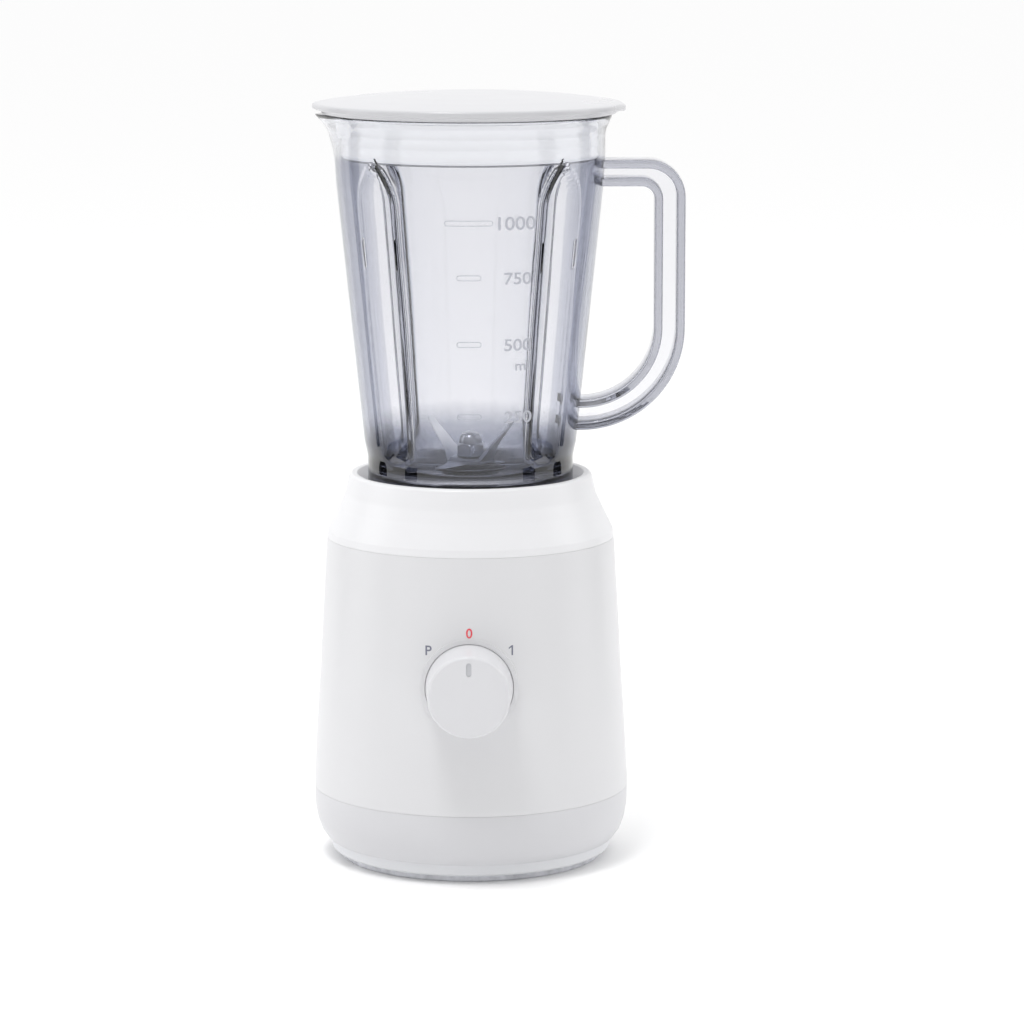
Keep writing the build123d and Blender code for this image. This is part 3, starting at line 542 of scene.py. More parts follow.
def handle_solid():
    """The handle: two flanges joined by a thin web, all one loop."""
    bm = bmesh.new()
    lines = [handle_line(bm, *values) for values in HANDLE_LINES]
    for first, second in zip(lines, lines[1:]):
        for (a, b), (c, d) in zip(zip(first, first[1:]), zip(second, second[1:])):
            bm.faces.new((a, b, d, c))
    bmesh.ops.translate(bm, verts=bm.verts, vec=(0, -WEB_HALF * MM, 0))
    whole = bmesh.ops.extrude_face_region(bm, geom=bm.faces[:])["geom"]
    bmesh.ops.translate(bm, verts=verts_in(whole), vec=(0, 2 * WEB_HALF * MM, 0))
    bmesh.ops.recalc_face_normals(bm, faces=bm.faces)
    flat = [f for f in bm.faces if abs(f.normal.y) > 0.99]
    for side in (-1, 1):
        for strip in (0, 2):
            chosen = [f for f in flat if f.is_valid and f.normal.y * side > 0 and strip_of(f) == strip]
            moved = bmesh.ops.extrude_face_region(bm, geom=chosen)["geom"]
            bmesh.ops.translate(bm, verts=verts_in(moved), vec=(0, side * FLANGE * MM, 0))
            bmesh.ops.delete(bm, geom=chosen, context="FACES_ONLY")
            flat = [f for f in flat if f.is_valid]
    bmesh.ops.recalc_face_normals(bm, faces=bm.faces)
    sharp = [e for e in bm.edges if len(e.link_faces) == 2 and e.calc_face_angle() > math.radians(50)]
    rim = (WEB_HALF + FLANGE) * MM
    sharp = [e for e in sharp if all(abs(abs(v.co.y) - rim) < 1e-4 for v in e.verts)]
    size = {"offset": 0.9 * MM, "offset_type": "OFFSET", "segments": 3, "profile": 0.5}
    bmesh.ops.bevel(bm, geom=sharp, affect="EDGES", material=-1, **size)
    bmesh.ops.recalc_face_normals(bm, faces=bm.faces)
    return bm


def strip_of(face):
    """Where a face of the handle's side lies: 0 outer flange, 1 web, 2 inner flange."""
    x, _, z = face.calc_center_median() / MM
    bend, top, corner, _ = HANDLE_LINES[0]
    corner_x, corner_z = HANDLE_X + bend - corner, top - corner
    if z < HANDLE_Z:
        depth = bend - (math.hypot(x - HANDLE_X, z - HANDLE_Z) if x > HANDLE_X else HANDLE_Z - z)
        inner = 10.4
    else:
        depth = min(HANDLE_X + bend - x, top - z)
        if x > corner_x and z > corner_z:
            depth = corner - math.hypot(x - corner_x, z - corner_z)
        inner = 10.2 if x > corner_x else 8.2
    return 0 if depth < 3.9 else (1 if depth < inner else 2)


# ------------------------------------------------------------------ settings a user would change
def length(name, description, default):
    return bpy.props.FloatProperty(name=name, description=description, default=default, unit="LENGTH")


def colour_of(name, description, default):
    return bpy.props.StringProperty(name=name, description=f"{description}, sRGB hex", default=default)


class BLENDERPART_PG_shape(bpy.types.PropertyGroup):
    flute_depth: length("Flute depth", "Depth of the four grooves in the jar", 0.0096)
    mark_line: length("Mark line", "Thickness of the raised lines of the volume marks", 0.0003)


class BLENDERPART_PG_finish(bpy.types.PropertyGroup):
    body_colour: colour_of("Body", "White of the base", "#dbdbdd")
    # the collar's white is a lighter copy of the body's: painted light on its upward-facing shoulder
    collar_lit_colour: colour_of("Collar", "White of the collar", "#e6e6e8")
    # the lower cup's white is a darker copy of the body's: painted shade on its downward-facing side
    lower_shaded_colour: colour_of("Lower", "White of the lower cup", "#d3d3d6")
    # the lid's white is darker than the body's: painted shade against the light that falls on its crown
    lid_shaded_colour: colour_of("Lid", "White of the lid", "#c6c6c9")
    knob_colour: colour_of("Knob", "White of the knob", "#d9d9dc")
    jar_tint: colour_of("Jar", "Tint of the clear jar", "#fcfcfe")
    ink_colour: colour_of("Ink", "Printed P and 1", "#737584")
    zero_colour: colour_of("Zero", "Printed 0", "#e0505a")


def shape():
    return bpy.context.scene.blender_shape


def finish():
    return bpy.context.scene.blender_finish


class BLENDERPART_OT_jar(bpy.types.Operator):
    """Clear jar with four flutes, pouring lip, foot and handle, one moulding"""

    bl_idname = "blenderpart.jar"
    bl_label = "Jar"

    def execute(self, context):
        outline = [(48.1, 190.5), (49.6, 197.5), (62.1, 318), (62.9, 331), (62.9, 341.2), (63.5, 343.6)]
        outline = dense(outline + [(64.6, 346)], 2.0)
        rim = [(64.6, 346), (65.8, 349.0, 0.8), (65.8, 350.0, 0.6), (62.6, 350.0, 0.7), (60.6, 344.8)]
        outline += rounded(rim, 4)
        outline += dense([(60.1, 341.2), (60.1, 331), (59.4, 318), (46.9, 197.5), (46.3, 193.5)], 2.0)
        outline += [(45.4, 189.4), (43.6, 186.0), (40.8, 183.0), (37.2, 181.0), (33.0, 180.05), (28.0, 180.0)]
        outline += [(10.1, 180.0), (10.1, 176.8), (30, 176.8), (43.0, 176.8), (44.6, 176.2), (45.1, 174.6)]
        outline += dense([(45.1, 172), (45.1, 153.0)], 6.0) + [(45.6, 152.0), (47.6, 152.0), (48.1, 152.6)]
        outline += dense([(48.1, 154), (48.1, 189)], 6.0)
        bm = spun(outline, closed=True, steps=288)
        shaped_wall(bm)
        bm = combined(bm, [handle_solid()], "UNION")
        plastic = clear_polycarbonate(finish().jar_tint)
        body = finished("jar_body", bm, plastic, "jar", ["jar"], smooth=38, slot="clear_jar")
        # the jar throws no shadow, so that light reaches what is inside it
        body.visible_shadow = False
        return {"FINISHED"}


# height, width of the bar, text, its left edge and its height
MARKS = (
    (304.5, 21.8, "1000", 13.3, 6.0),
    (279.5, 11, "750", 16, 5.4),
    (248.8, 11, "500", 16, 5.4),
    (215.2, 11, "250", 16, 5.4),
)


class BLENDERPART_OT_marks(bpy.types.Operator):
    """Raised volume marks on the front wall of the jar"""

    bl_idname = "blenderpart.marks"
    bl_label = "Volume marks"

    def execute(self, context):
        bm = bmesh.new()
        thick = shape().mark_line / MM
        for z, wide, text, left, tall in MARKS:
            bar_outline(bm, z, wide, 2.3, thick)
            lettering(bm, text, left, z - 3.1, tall, thick)
        lettering(bm, "ml", 21.0, 236.5, 4.4, thick)
        for vert in bm.verts:
            x, y, z = (value / MM for value in vert.co)
            radius = between(z, OUTSIDE_WALL) - y
            vert.co.y = -math.sqrt(radius * radius - x * x) * MM
        finished("volume_marks", bm, frosted_mark(), "jar", slot="clear_jar", smooth=60)
        return {"FINISHED"}


def text_mesh(text, height, raised=0.0, bold=0.0):
    """A word of the built-in font as a filled mesh lying in X and Y, that tall in millimetres."""
    curve = bpy.data.curves.new("word", "FONT")
    curve.body = text
    curve.size = height / 0.7 * MM
    curve.extrude = raised * MM
    curve.offset = bold * MM
    holder = bpy.data.objects.new("word", curve)
    bpy.context.scene.collection.objects.link(holder)
    bpy.context.view_layer.update()
    graph = bpy.context.evaluated_depsgraph_get()
    mesh = bpy.data.meshes.new_from_object(holder.evaluated_get(graph))
    bpy.data.objects.remove(holder)
    bpy.data.curves.remove(curve)
    return mesh


def lettering(bm, text, left, low, height, thick):
    """Figures standing up from the wall; y holds minus the height above it until they are wrapped."""
    mesh = text_mesh(text, height, thick / 2, 0.08)
    part = bmesh.new()
    part.from_mesh(mesh)
    first = min(v.co.x for v in part.verts)
    for vert in part.verts:
        x, y, z = vert.co
        vert.co = ((x - first) * 1.1 + left * MM, -z, y + low * MM)
    part.to_mesh(mesh)
    part.free()
    bm.from_mesh(mesh)
    bpy.data.meshes.remove(mesh)


def bar_outline(bm, z, wide, tall, thick):
    """A thin raised frame with round ends."""
    half, end = wide / 2 - tall / 2, tall / 2
    line = []
    for centre, start in ((half, -90), (-half, 90)):
        for step in range(9):
            angle = math.radians(start + step * 22.5)
            line.append((centre + end * math.cos(angle), z + end * math.sin(angle)))
    line = dense(line + [line[0]], 1.5)[:-1]
    rings = []
    for x, height in line:
        middle = Vector((x, 0, height))
        ahead = Vector((x - max(min(x, half), -half), 0, height - z)).normalized()
        loop = []
        for step in range(6):
            angle = math.tau * step / 6
            ray = ahead * math.cos(angle) + Vector((0, math.sin(angle), 0))
            loop.append(bm.verts.new((middle + thick / 2 * ray) * MM))
        rings.append(loop)
    for first, second in zip(rings, rings[1:] + rings[:1]):
        for step in range(6):
            bm.faces.new((first[step], first[(step + 1) % 6], second[(step + 1) % 6], second[step]))
    bmesh.ops.recalc_face_normals(bm, faces=bm.faces)


LID_EDGE, LIP_REACH = 71.5, 73.9  # radius of the lid, and how far its lip over the spout reaches


class BLENDERPART_OT_lid(bpy.types.Operator):
    """White lid with its plug, and the ribbed gasket round the plug"""

    bl_idname = "blenderpart.lid"
    bl_label = "Lid"

    def execute(self, context):
        crown = [(0, 360.0), (20, 359.8), (40, 358.9), (55, 357.6), (65, 356.3), (69.4, 355.6)]
        edge = [(69.4, 355.6), (71.5, 355.1, 1.4), (71.4, 352.3, 1.0), (68.2, 352.0, 0.4), (67.4, 350.5)]
        outline = dense(crown, 2.5)[:-1] + rounded(edge, 5)
        outline += [(66.4, 350.4), (58.4, 350.4), (58.4, 340), (58.4, 329.9), (58.0, 329.6), (56.4, 329.6)]
        outline += [(56.0, 330.0), (56.0, 340), (56.0, 352.0), (54.0, 354.7), (0, 354.7)]
        bm = spun(outline)
        for vert in bm.verts:
            x, y, z = (value / MM for value in vert.co)
            radius = math.hypot(x, y)
            if radius > 60 and z > 349:
                ratio = 1 + (LIP_REACH / LID_EDGE - 1) * min(1, (radius - 60) / 9)
                swing = math.acos(1 / ratio)
                away = math.pi - abs(math.atan2(y, x))
                if away < swing:
                    new = radius / math.cos(max(swing - math.sqrt(away * away + 0.0016), 0))
                    widened(vert, new / radius)
                # the edge dips into a small thumb lip over the handle
                side = abs(math.atan2(y, x))
                if side < 0.2 and radius > 66:
                    dip = 0.7 * (1 - smoothstep((side - 0.05) / 0.15)) * smoothstep((radius - 66) / 5)
                    vert.co.z -= dip * MM
                    vert.co.x += dip * MM
        # painted shade: the lid's white is darker, to offset the light falling on its crown
        finish_lid = white_abs("moulded_abs_lid", finish().lid_shaded_colour, 0.28, 0.2)
        finished("lid_cap", bm, finish_lid, "lid", ["lid"], slot="white_abs")
        beads = [(58.45, 348.6), (58.9, 348.6)]
        for z in (346.9, 341.9, 336.9, 331.9):
            beads += [(58.9, z + 0.9), (59.55, z + 0.35), (59.6, z), (59.55, z - 0.35), (58.9, z - 0.9)]
        beads += [(58.9, 330.6), (58.45, 330.6)]
        # the seal gets painted light, a glow of 0.5
        milky = silicone("milky_silicone", "#f8f9fb", 0.5)
        seal = spun(beads, closed=True)
        finished("lid_seal", seal, milky, "lid", ["lid_gasket"], slot="silicone", smooth=50)
        return {"FINISHED"}


# outlines of the base as (radius, height) or (radius, height, rounding)
COLLAR_OUTSIDE = [
    (66.9, 152.5), (67.35, 152.5, 0.12), (66.9, 155.9, 3), (64.5, 160.7, 6), (61.4, 167.0, 14),
    (58.8, 172.9, 10), (57.5, 178.8, 4), (56.8, 181.6, 1.6), (55.6, 182.6, 1.1), (53.2, 182.4, 1.0),
    (49.4, 177.4, 2.0), (48.9, 170.0), (48.9, 151.7),
]
COLLAR_INSIDE = [
    (43, 151.7), (43, 148.5), (18.9, 148.5), (18.9, 153.4), (18.6, 153.7), (16.8, 153.7), (16.5, 153.4),
    (16.5, 146), (54.2, 146), (54.2, 174), (57.6, 168), (63.8, 155.5), (62.9, 148.5), (64.5, 148.5),
    (64.5, 152.5),
]
HOUSING = [
    (64.9, 152.44), (66.6, 152.44), (67.38, 152.44, 0.1), (69.45, 118), (71.05, 89), (72.95, 60.5),
    (74.05, 38.0), (74.1, 33.5, 0.12), (71.6, 33.5), (70.4, 60.5), (68.5, 89), (66.9, 118), (64.9, 152.44),
]
LOWER_CUP = [
    (71.6, 33.44), (73.7, 33.44), (74.08, 33.44, 0.12), (74.0, 27), (73.7, 23.2), (72.8, 18.2),
    (71.0, 13.2), (67.9, 9.0, 0.5), (42, 9.0), (42, 11.5), (65.7, 11.5), (69.6, 17.2), (71.4, 27),
    (69.4, 31), (69.4, 37.5), (71.1, 37.5), (71.1, 33.44),
]


def disc(radius, low, high, steps=48):
    """A closed cylinder about Z."""
    return spun([(0, low), (radius, low), (radius, high), (0, high)], steps=steps)


class BLENDERPART_OT_casings(bpy.types.Operator):
    """Lower housing, main housing and top collar of the base"""

    bl_idname = "blenderpart.casings"
    bl_label = "Base casings"

    def execute(self, context):
        # white for the body; pale, a darker copy, is painted shade on the lower cup; bright, a lighter copy,
        # is painted light on the collar
        white, pale, bright = (
            white_abs(f"moulded_abs_{name}", colour, 0.34)
            for name, colour in (
                ("body", finish().body_colour),
                ("lower", finish().lower_shaded_colour),
                ("collar", finish().collar_lit_colour),
            )
        )
        look = {"slot": "white_abs", "smooth": 30}
        collar = spun(rounded(COLLAR_OUTSIDE, 6) + COLLAR_INSIDE, closed=True)
        # painted light: the collar's finish is a lighter copy of the body's white
        finished("collar_shell", collar, bright, "base", ["top_collar"], **look)
        # main housing, with the knob's boss, pocket and shaft hole, and the cord gland's hole
        wall = spun(dense(rounded(HOUSING, 4)[:-1], 8), closed=True)
        boss, pocket = disc(22.6, 65.4, 70.0, 96), disc(20.36, 67.4, 80, 96)
        hole, back = disc(5.2, 60, 80), disc(6.4, 60, 90)
        for piece in (boss, pocket, hole):
            towards_front(piece, KNOB_HEIGHT)
        turned(back, -90, "X")
        bmesh.ops.translate(back, verts=back.verts, vec=(0, 0, GLAND_HEIGHT * MM))
        wall = combined(combined(wall, [boss], "UNION"), [pocket, hole], "DIFFERENCE")
        wall = combined(wall, [back], "DIFFERENCE")
        finished("housing_shell", wall, white, "base", ["main_housing"], **look)
        cup = spun(smooth_run(rounded(LOWER_CUP, 4)), closed=True)
        # painted shade: the lower cup's finish is a darker copy of the body's white
        finished("lower_shell", cup, pale, "base", ["lower_housing"], **look)
        return {"FINISHED"}


def smooth_run(points):
    """The same outline without doubled corners."""
    result = [points[0]]
    for point in points[1:]:
        if math.dist(point, result[-1]) > 1e-3:
            result.append(point)
    return result


KNOB_OUTLINE = [
    (0, 92.0), (18.8, 92.0, 1.5), (20.2, 68.6, 0.4), (17.0, 68.2), (17.0, 88.6), (5.6, 88.6), (5.6, 68.2),
    (3.05, 68.2), (3.05, 86.2), (0, 86.2),
]
POINTER_RADIUS, POINTER_MIDDLE, POINTER_FLOOR = 1.2, 12.8, 91.3  # half its width, its place and its depth


class BLENDERPART_OT_knob(bpy.types.Operator):
    """Speed knob with its sunk pointer, and a grey piece on the pointer's floor for painted shade"""

    bl_idname = "blenderpart.knob"
    bl_label = "Knob"

    def execute(self, context):
        bm = spun(smooth_run(rounded(KNOB_OUTLINE, 8)), steps=160)
        pill = bmesh.new()
        corners = []
        for centre, start in ((2.0, 0), (-2.0, 180)):
            for step in range(13):
                angle = math.radians(start + step * 15)
                x, y = POINTER_RADIUS * math.cos(angle), POINTER_RADIUS * math.sin(angle)
                place = (x * MM, (POINTER_MIDDLE + centre + y) * MM, POINTER_FLOOR * MM)
                corners.append(pill.verts.new(place))
        face = pill.faces.new(corners)
        top = bmesh.ops.extrude_face_region(pill, geom=[face])["geom"]
        bmesh.ops.translate(pill, verts=verts_in(top), vec=(0, 0, 3 * MM))
        bmesh.ops.recalc_face_normals(pill, faces=pill.faces)
        # painted shade: a thin grey piece on the floor of the sunk pointer stands for the shade inside it
        pointer_shade = pill.copy()
        level = Matrix.Translation((0, 0, -91.2 * MM))
        bmesh.ops.scale(pointer_shade, verts=pointer_shade.verts, vec=(1, 1, 0.1), space=level)
        bm = combined(bm, [pill], "DIFFERENCE")
        towards_front(bm, KNOB_HEIGHT)
        towards_front(pointer_shade, KNOB_HEIGHT)
        look = {"slot": "knob_abs", "smooth": 30}
        # the grey of the painted shade in the pointer
        grey = white_abs("pointer_painted_shade_abs", "#c3c4c8", 0.4)
        finished("pointer_painted_shade", pointer_shade, grey, "knob", **look)
        white = white_abs("moulded_abs_knob", finish().knob_colour, 0.3)
        finished("knob_cap", bm, white, "knob", ["speed_knob"], **look)
        return {"FINISHED"}


def figure_one():
    """A plain 1 with its flag, 4.6 mm tall, as one flat face."""
    outline = [(1.25, 0), (1.95, 0), (1.95, 4.6), (1.35, 4.6), (0, 3.6), (0, 2.9), (1.25, 3.75)]
    bm = bmesh.new()
    bm.faces.new([bm.verts.new((x * MM, y * MM, 0)) for x, y in outline])
    mesh = bpy.data.meshes.new("figure_one")
    bm.to_mesh(mesh)
    bm.free()
    return mesh


# name, text, middle and lower edge in millimetres
PRINTS = (
    ("print_pulse", "P", -18.6, 107.8),
    ("print_off", "0", 0.0, 116.0),
    ("print_on", "1", 19.0, 107.8),
)


class BLENDERPART_OT_prints(bpy.types.Operator):
    """Printed P, 0 and 1 round the knob"""

    bl_idname = "blenderpart.prints"
    bl_label = "Prints"

    def execute(self, context):
        grey = printed_ink("pad_print_grey", finish().ink_colour)
        red = printed_ink("pad_print_red", finish().zero_colour)
        for name, text, x, z in PRINTS:
            mesh = figure_one() if text == "1" else text_mesh(text, 4.4, 0.0, 0.08)
            low = Vector([min(v.co[i] for v in mesh.vertices) for i in range(3)])
            high = Vector([max(v.co[i] for v in mesh.vertices) for i in range(3)])
            bm = bmesh.new()
            bm.from_mesh(mesh)
            bpy.data.meshes.remove(mesh)
            for vert in bm.verts:
                px = (vert.co.x - (low.x + high.x) / 2) / MM + x
                pz = (vert.co.y - low.y) / MM + z
                radius = between(pz, [(89, 71.05), (118, 69.45)]) + 0.04
                vert.co = Vector((px, -math.sqrt(radius * radius - px * px), pz)) * MM
            bmesh.ops.recalc_face_normals(bm, faces=bm.faces)
            for face in bm.faces:
                if face.normal.y > 0:
                    face.normal_flip()
            finished(name, bm, red if text == "0" else grey, "base")
        return {"FINISHED"}


# name, node, height at the hub, length of the flat part, the tips' reach and height, turn in degrees
WINGS = (
    ("lower_wings", "lower_blade", 188.0, 9.0, 30.0, 184.6, 62),
    ("upper_wings", "upper_blade", 189.7, 8.0, 22.0, 206.3, -30),
)
BLADE_THICK = 1.5


class BLENDERPART_OT_blades(bpy.types.Operator):
    """Blade set: four bent and sharpened wings and the acorn nut under the jar"""

    bl_idname = "blenderpart.blades"
    bl_label = "Blades"

    def execute(self, context):
        steel = ground_steel("polished_stainless_blade", "#dddfe4", 0.3, (1, 30, 1))
        for name, node, low, run, tip_x, tip_z, turn in WINGS:
            bm = bmesh.new()
            middle = ((tip_x + run) / 2, (tip_z + low) / 2, 6.0)
            wing = [(4.3, low, 6.8), (run, low, 7.2), middle, (tip_x, tip_z, 2.4)]
            rows = [
                [bm.verts.new((x * MM, side * half * MM, z * MM)) for side in (-1, 1)]
                for x, z, half in [(-x, z, half) for x, z, half in reversed(wing)] + wing
            ]
            for first, second in zip(rows, rows[1:]):
                bm.faces.new((first[0], second[0], second[1], first[1]))
            bmesh.ops.subdivide_edges(bm, edges=bm.edges[:], cuts=2, use_grid_fill=True)
            # each wing is twisted so that its leading edge lies lower
            for vert in bm.verts:
                out = smoothstep((abs(vert.co.x) / MM - run) / 5)
                vert.co.z += 0.3 * vert.co.y * out * (1 if vert.co.x > 0 else -1)
            raised = verts_in(bmesh.ops.extrude_face_region(bm, geom=bm.faces[:])["geom"])
            bmesh.ops.translate(bm, verts=raised, vec=(0, 0, BLADE_THICK * MM))
            # the cutting edges are ground thin on the leading sides
            for vert in raised:
                if abs(vert.co.x) > run * MM and vert.co.y * vert.co.x > 0:
                    vert.co.z -= 1.1 * MM * min(1, abs(vert.co.y) / (3 * MM))
            bmesh.ops.recalc_face_normals(bm, faces=bm.faces)
            hole = disc(4.1, low - 4, low + 5)
            bm = combined(bm, [hole], "DIFFERENCE")
            turned(bm, turn, "Z")
            finished(name, bm, steel, "blades", [node], slot="shaft_steel", smooth=25)
        nut = [(0, 202.0), (1.6, 201.8), (3.2, 201.1), (4.5, 199.9), (5.2, 198.2), (5.4, 196.4)]
        nut += [(5.9, 196.3), (6.3, 196.0), (6.9, 195.4), (6.9, 192.0), (6.5, 191.5), (4.05, 191.5)]
        nut += [(4.05, 200.6), (0, 200.6)]
        bm = spun(nut, steps=96)
        for vert in bm.verts:
            x, y, z = (value / MM for value in vert.co)
            radius = math.hypot(x, y)
            # above the flange the nut is hexagonal
            if radius > 5.8 and z < 196.35:
                flat = 6.06 / math.cos((math.atan2(y, x) + math.pi / 6) % (math.pi / 3) - math.pi / 6)
                new = min(radius, flat)
                widened(vert, new / radius)
        plated = ground_steel("plated_nut", "#c3c5cc", 0.3, (1, 1, 4))
        finished("acorn_nut", bm, plated, "blades", ["blade_nut"], slot="black_plastic", smooth=30)
        return {"FINISHED"}


# finish and nodes of what is carried over from the frame as it is
CARRIED = {
    "steel_screw": ("base_screws", "collar_screws", "motor_mount_screws", "through_bolts"),
    "clip_steel": ("shaft_clip", "blade_washer"),
    "races": ("lower_bearing", "upper_bearing"),
    "shaft": ("motor_shaft", "blade_shaft", "switch_shaft"),
    "spring": ("interlock_spring", "brush_springs"),
    "lamination": ("stator_core", "armature_core"),
    "coil": ("field_coils",),
    "armature": ("armature_windings",),
    "copper": ("commutator",),
    "cast": ("lower_motor_bracket", "upper_motor_bracket"),
    "rubber": ("motor_mount_rubbers", "drip_seal", "drive_coupling"),
    "foot": ("rubber_foot_ring",),
    "plate": ("bottom_plate",),
    "nylon": ("brush_holders", "rotary_switch", "interlock_switch", "terminal_block"),
    "fan": ("cooling_fan",),
    "pin": ("interlock_pin",),
    "gland": ("cord_gland", "gland_nut"),
    "boss": ("blade_boss", "boss_nut"),
    "gasket": ("boss_gasket",),
    "carbon": ("carbon_brushes",),
    "bronze": ("blade_bush",),
    "driven": ("driven_coupling",),
}


class BLENDERPART_OT_inner(bpy.types.Operator):
    """Motor, controls, fasteners, foot ring and bearings: the frame's own pieces with their finishes"""

    bl_idname = "blenderpart.inner"
    bl_label = "Inner pieces"

    def execute(self, context):
        finishes = {
            "steel_screw": ground_steel("zinc_plated_steel", "#aeb0b4", 0.3, (1, 1, 1)),
            "clip_steel": ground_steel("stamped_stainless", "#bfc1c6", 0.28, (1, 6, 1)),
            "races": ground_steel("bearing_steel", "#c2c4c9", 0.16, (1, 1, 20)),
            "shaft": ground_steel("ground_shaft_steel", "#c6c8cc", 0.2, (1, 1, 40)),
            "spring": ground_steel("spring_steel", "#8f9197", 0.3, (1, 1, 3)),
            "lamination": laminated_steel(),
            "coil": enamelled_wire("enamelled_field_wire", "X"),
            "armature": enamelled_wire("enamelled_armature_wire", "Z"),
            "copper": ground_steel("turned_copper", "#b5673a", 0.24, (1, 1, 30)),
            "cast": cast_alloy(),
            "rubber": moulded_rubber("black_moulded_rubber", "#1c1c1e"),
            "foot": moulded_rubber("foot_rubber", "#d6d7dc"),
            "plate": white_abs("textured_abs_plate", "#e6e7ea", 0.45, 0.6),
            "nylon": nylon("black_nylon", "#1a1a1d", 0.42),
            "fan": nylon("fan_nylon", "#d9d6cc", 0.5),
            "pin": nylon("natural_acetal", "#dcdcd8", 0.4),
            "gland": nylon("pale_gland_nylon", "#e2e3e6", 0.42),
            "boss": nylon("dark_boss_nylon", "#3a3c46", 0.3),
            "gasket": silicone("boss_silicone", "#cfd0d6"),
            "carbon": graphite(),
            "bronze": sintered_bronze(),
            "driven": nylon("glass_filled_coupling", "#2a2a2e", 0.45),
        }
        body_of = {n: b for b, names in frame["record"]["behaviour"]["bodies"].items() for n in names}
        slot_of = {s["node"]: s["material_slot"] for s in frame["record"]["subparts"]}
        for kind, names in CARRIED.items():
            for node in names:
                bm = bmesh.new()
                bm.from_mesh(frame["nodes"][node].data)
                bmesh.ops.remove_doubles(bm, verts=bm.verts, dist=1e-6)
                look = {"smooth": 32, "slot": slot_of[node]}
                finished(f"{node}_shape", bm, finishes[kind], body_of[node], [node], **look)
        return {"FINISHED"}


CAMERA_PLACE, CAMERA_DIP, CAMERA_LENS = (0.0195, -1.893, 0.473), 9.3, 143.3
LAMPS_AIM = Vector((0, 0, 0.18))


def prop(name, bm, finish_name, look):
    """A piece of the set from a bmesh, with a plain finish."""
    mesh = bpy.data.meshes.new(name)
    bm.to_mesh(mesh)
    bm.free()
    made, tree, surface, _ = new_material(finish_name)
    dress(tree, surface, look)
    mesh.materials.append(made)
    piece = bpy.data.objects.new(name, mesh)
    bpy.context.scene.collection.objects.link(piece)
    return piece


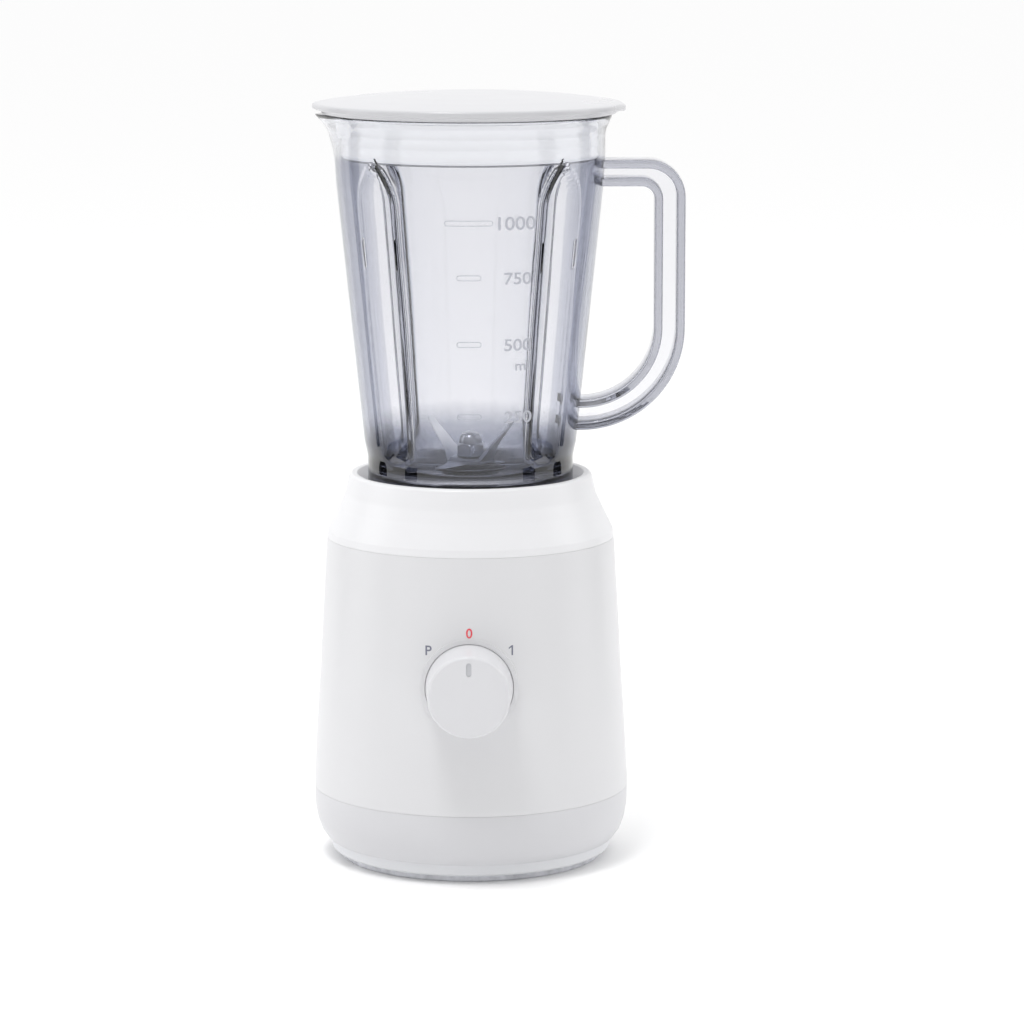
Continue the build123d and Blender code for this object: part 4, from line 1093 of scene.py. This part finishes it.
class BLENDERPART_OT_stage(bpy.types.Operator):
    """Pale floor, soft studio light and the camera"""

    bl_idname = "blenderpart.stage"
    bl_label = "Stage"

    def execute(self, context):
        scene = context.scene
        camera = bpy.data.objects.new("camera", bpy.data.cameras.new("camera"))
        scene.collection.objects.link(camera)
        camera.location = CAMERA_PLACE
        camera.rotation_euler = (math.radians(90 - CAMERA_DIP), 0, 0)
        camera.data.sensor_width = 36
        camera.data.lens = CAMERA_LENS
        camera.data.clip_end = 200
        scene.camera = camera
        scene.view_settings.view_transform = "Standard"

        # pale matt floor, large enough to fill the view
        bm = bmesh.new()
        bmesh.ops.create_grid(bm, x_segments=2, y_segments=2, size=30)
        paper = {"Base Color": (0.98, 0.98, 0.98, 1), "Roughness": 0.9, "Specular IOR Level": 0.0}
        floor = prop("floor", bm, "pale_paper_floor", paper)

        world = bpy.data.worlds.new("studio")
        world.use_nodes = True
        tree = world.node_tree
        tree.nodes.clear()
        scene.world = world
        way = add(tree, "ShaderNodeTexCoord").outputs["Generated"]
        split = add(tree, "ShaderNodeSeparateXYZ", links={"Vector": way})
        # even and white behind and beside the set, softer from the front, a little brighter from above
        half = {1: 0.5, 2: 0.5}
        along = add(tree, "ShaderNodeMath", half, {0: split.outputs["Y"]}, operation="MULTIPLY_ADD")
        front = greys((0.0, 0.42), (0.3, 0.62), (0.5, 0.93), (0.56, 1.0), (1.0, 1.0))
        parts = {
            "A": ramp(tree, along.outputs["Value"], front),
            "B": ramp(tree, split.outputs["Z"], greys((0.25, 0), (0.9, 0.22))),
        }
        total = add(tree, "ShaderNodeMix", {"Factor": 1.0}, parts, data_type="RGBA", blend_type="ADD")
        back = add(tree, "ShaderNodeBackground", {"Strength": 1.03}, {"Color": total.outputs["Result"]})
        add(tree, "ShaderNodeOutputWorld", links={"Surface": back.outputs[0]})

        # dark upright cloths at both sides, seen only in reflections and through clear plastic
        strips = bmesh.new()
        for step in (1, 2, 5, 6):  # eighths of a turn
            strip = bmesh.ops.create_grid(strips, x_segments=1, y_segments=1, size=0.5)["verts"]
            bmesh.ops.scale(strips, verts=strip, vec=(0.2, 0.9, 1))
            turned(strips, 90, "X", strip)
            bmesh.ops.translate(strips, verts=strip, vec=(0, 0.7, 0.45))
            turned(strips, 22.5 + 45 * step, "Z", strip)
        black = {"Base Color": (0.03, 0.032, 0.04, 1), "Roughness": 1.0}
        cloths = prop("dark_cloths", strips, "black_cloth", black)
        cloths.visible_camera = cloths.visible_diffuse = cloths.visible_shadow = False

        for name, place, size, power in (
            ("key", (-0.35, -0.62, 2.0), 0.5, 13),
            ("left", (-1.6, 0.2, 1.0), 1.0, 2.2),
            ("right", (1.6, 0.2, 1.0), 1.0, 2.2),
        ):
            lamp = bpy.data.lights.new(name, "AREA")
            lamp.size = size
            lamp.energy = power
            holder = bpy.data.objects.new(name, lamp)
            scene.collection.objects.link(holder)
            holder.location = place
            holder.rotation_euler = (LAMPS_AIM - Vector(place)).to_track_quat("-Z", "Y").to_euler()
        return {"FINISHED"}


class BLENDERPART_PT_panel(bpy.types.Panel):
    """Lists the pieces and their settings"""

    bl_label = "Countertop blender"
    bl_space_type = "VIEW_3D"
    bl_region_type = "UI"
    bl_category = "Blender"

    def draw(self, context):
        for group in (context.scene.blender_shape, context.scene.blender_finish):
            for key in group.bl_rna.properties.keys():
                if key not in ("rna_type", "name"):
                    self.layout.prop(group, key)
        for operator in OPERATORS:
            self.layout.operator(operator.bl_idname)


OPERATORS = (
    BLENDERPART_OT_stage,
    BLENDERPART_OT_jar,
    BLENDERPART_OT_marks,
    BLENDERPART_OT_lid,
    BLENDERPART_OT_casings,
    BLENDERPART_OT_knob,
    BLENDERPART_OT_prints,
    BLENDERPART_OT_blades,
    BLENDERPART_OT_inner,
)
GROUPS = {"blender_shape": BLENDERPART_PG_shape, "blender_finish": BLENDERPART_PG_finish}


def register():
    for cls in (*GROUPS.values(), *OPERATORS, BLENDERPART_PT_panel):
        bpy.utils.register_class(cls)
    for name, cls in GROUPS.items():
        setattr(bpy.types.Scene, name, bpy.props.PointerProperty(type=cls))


def unregister():
    for name in GROUPS:
        delattr(bpy.types.Scene, name)
    for cls in reversed((*GROUPS.values(), *OPERATORS, BLENDERPART_PT_panel)):
        bpy.utils.unregister_class(cls)


def main():
    register()
    for operator in OPERATORS:
        getattr(bpy.ops.blenderpart, operator.bl_idname.split(".")[1])()


if __name__ == "__main__":
    main()
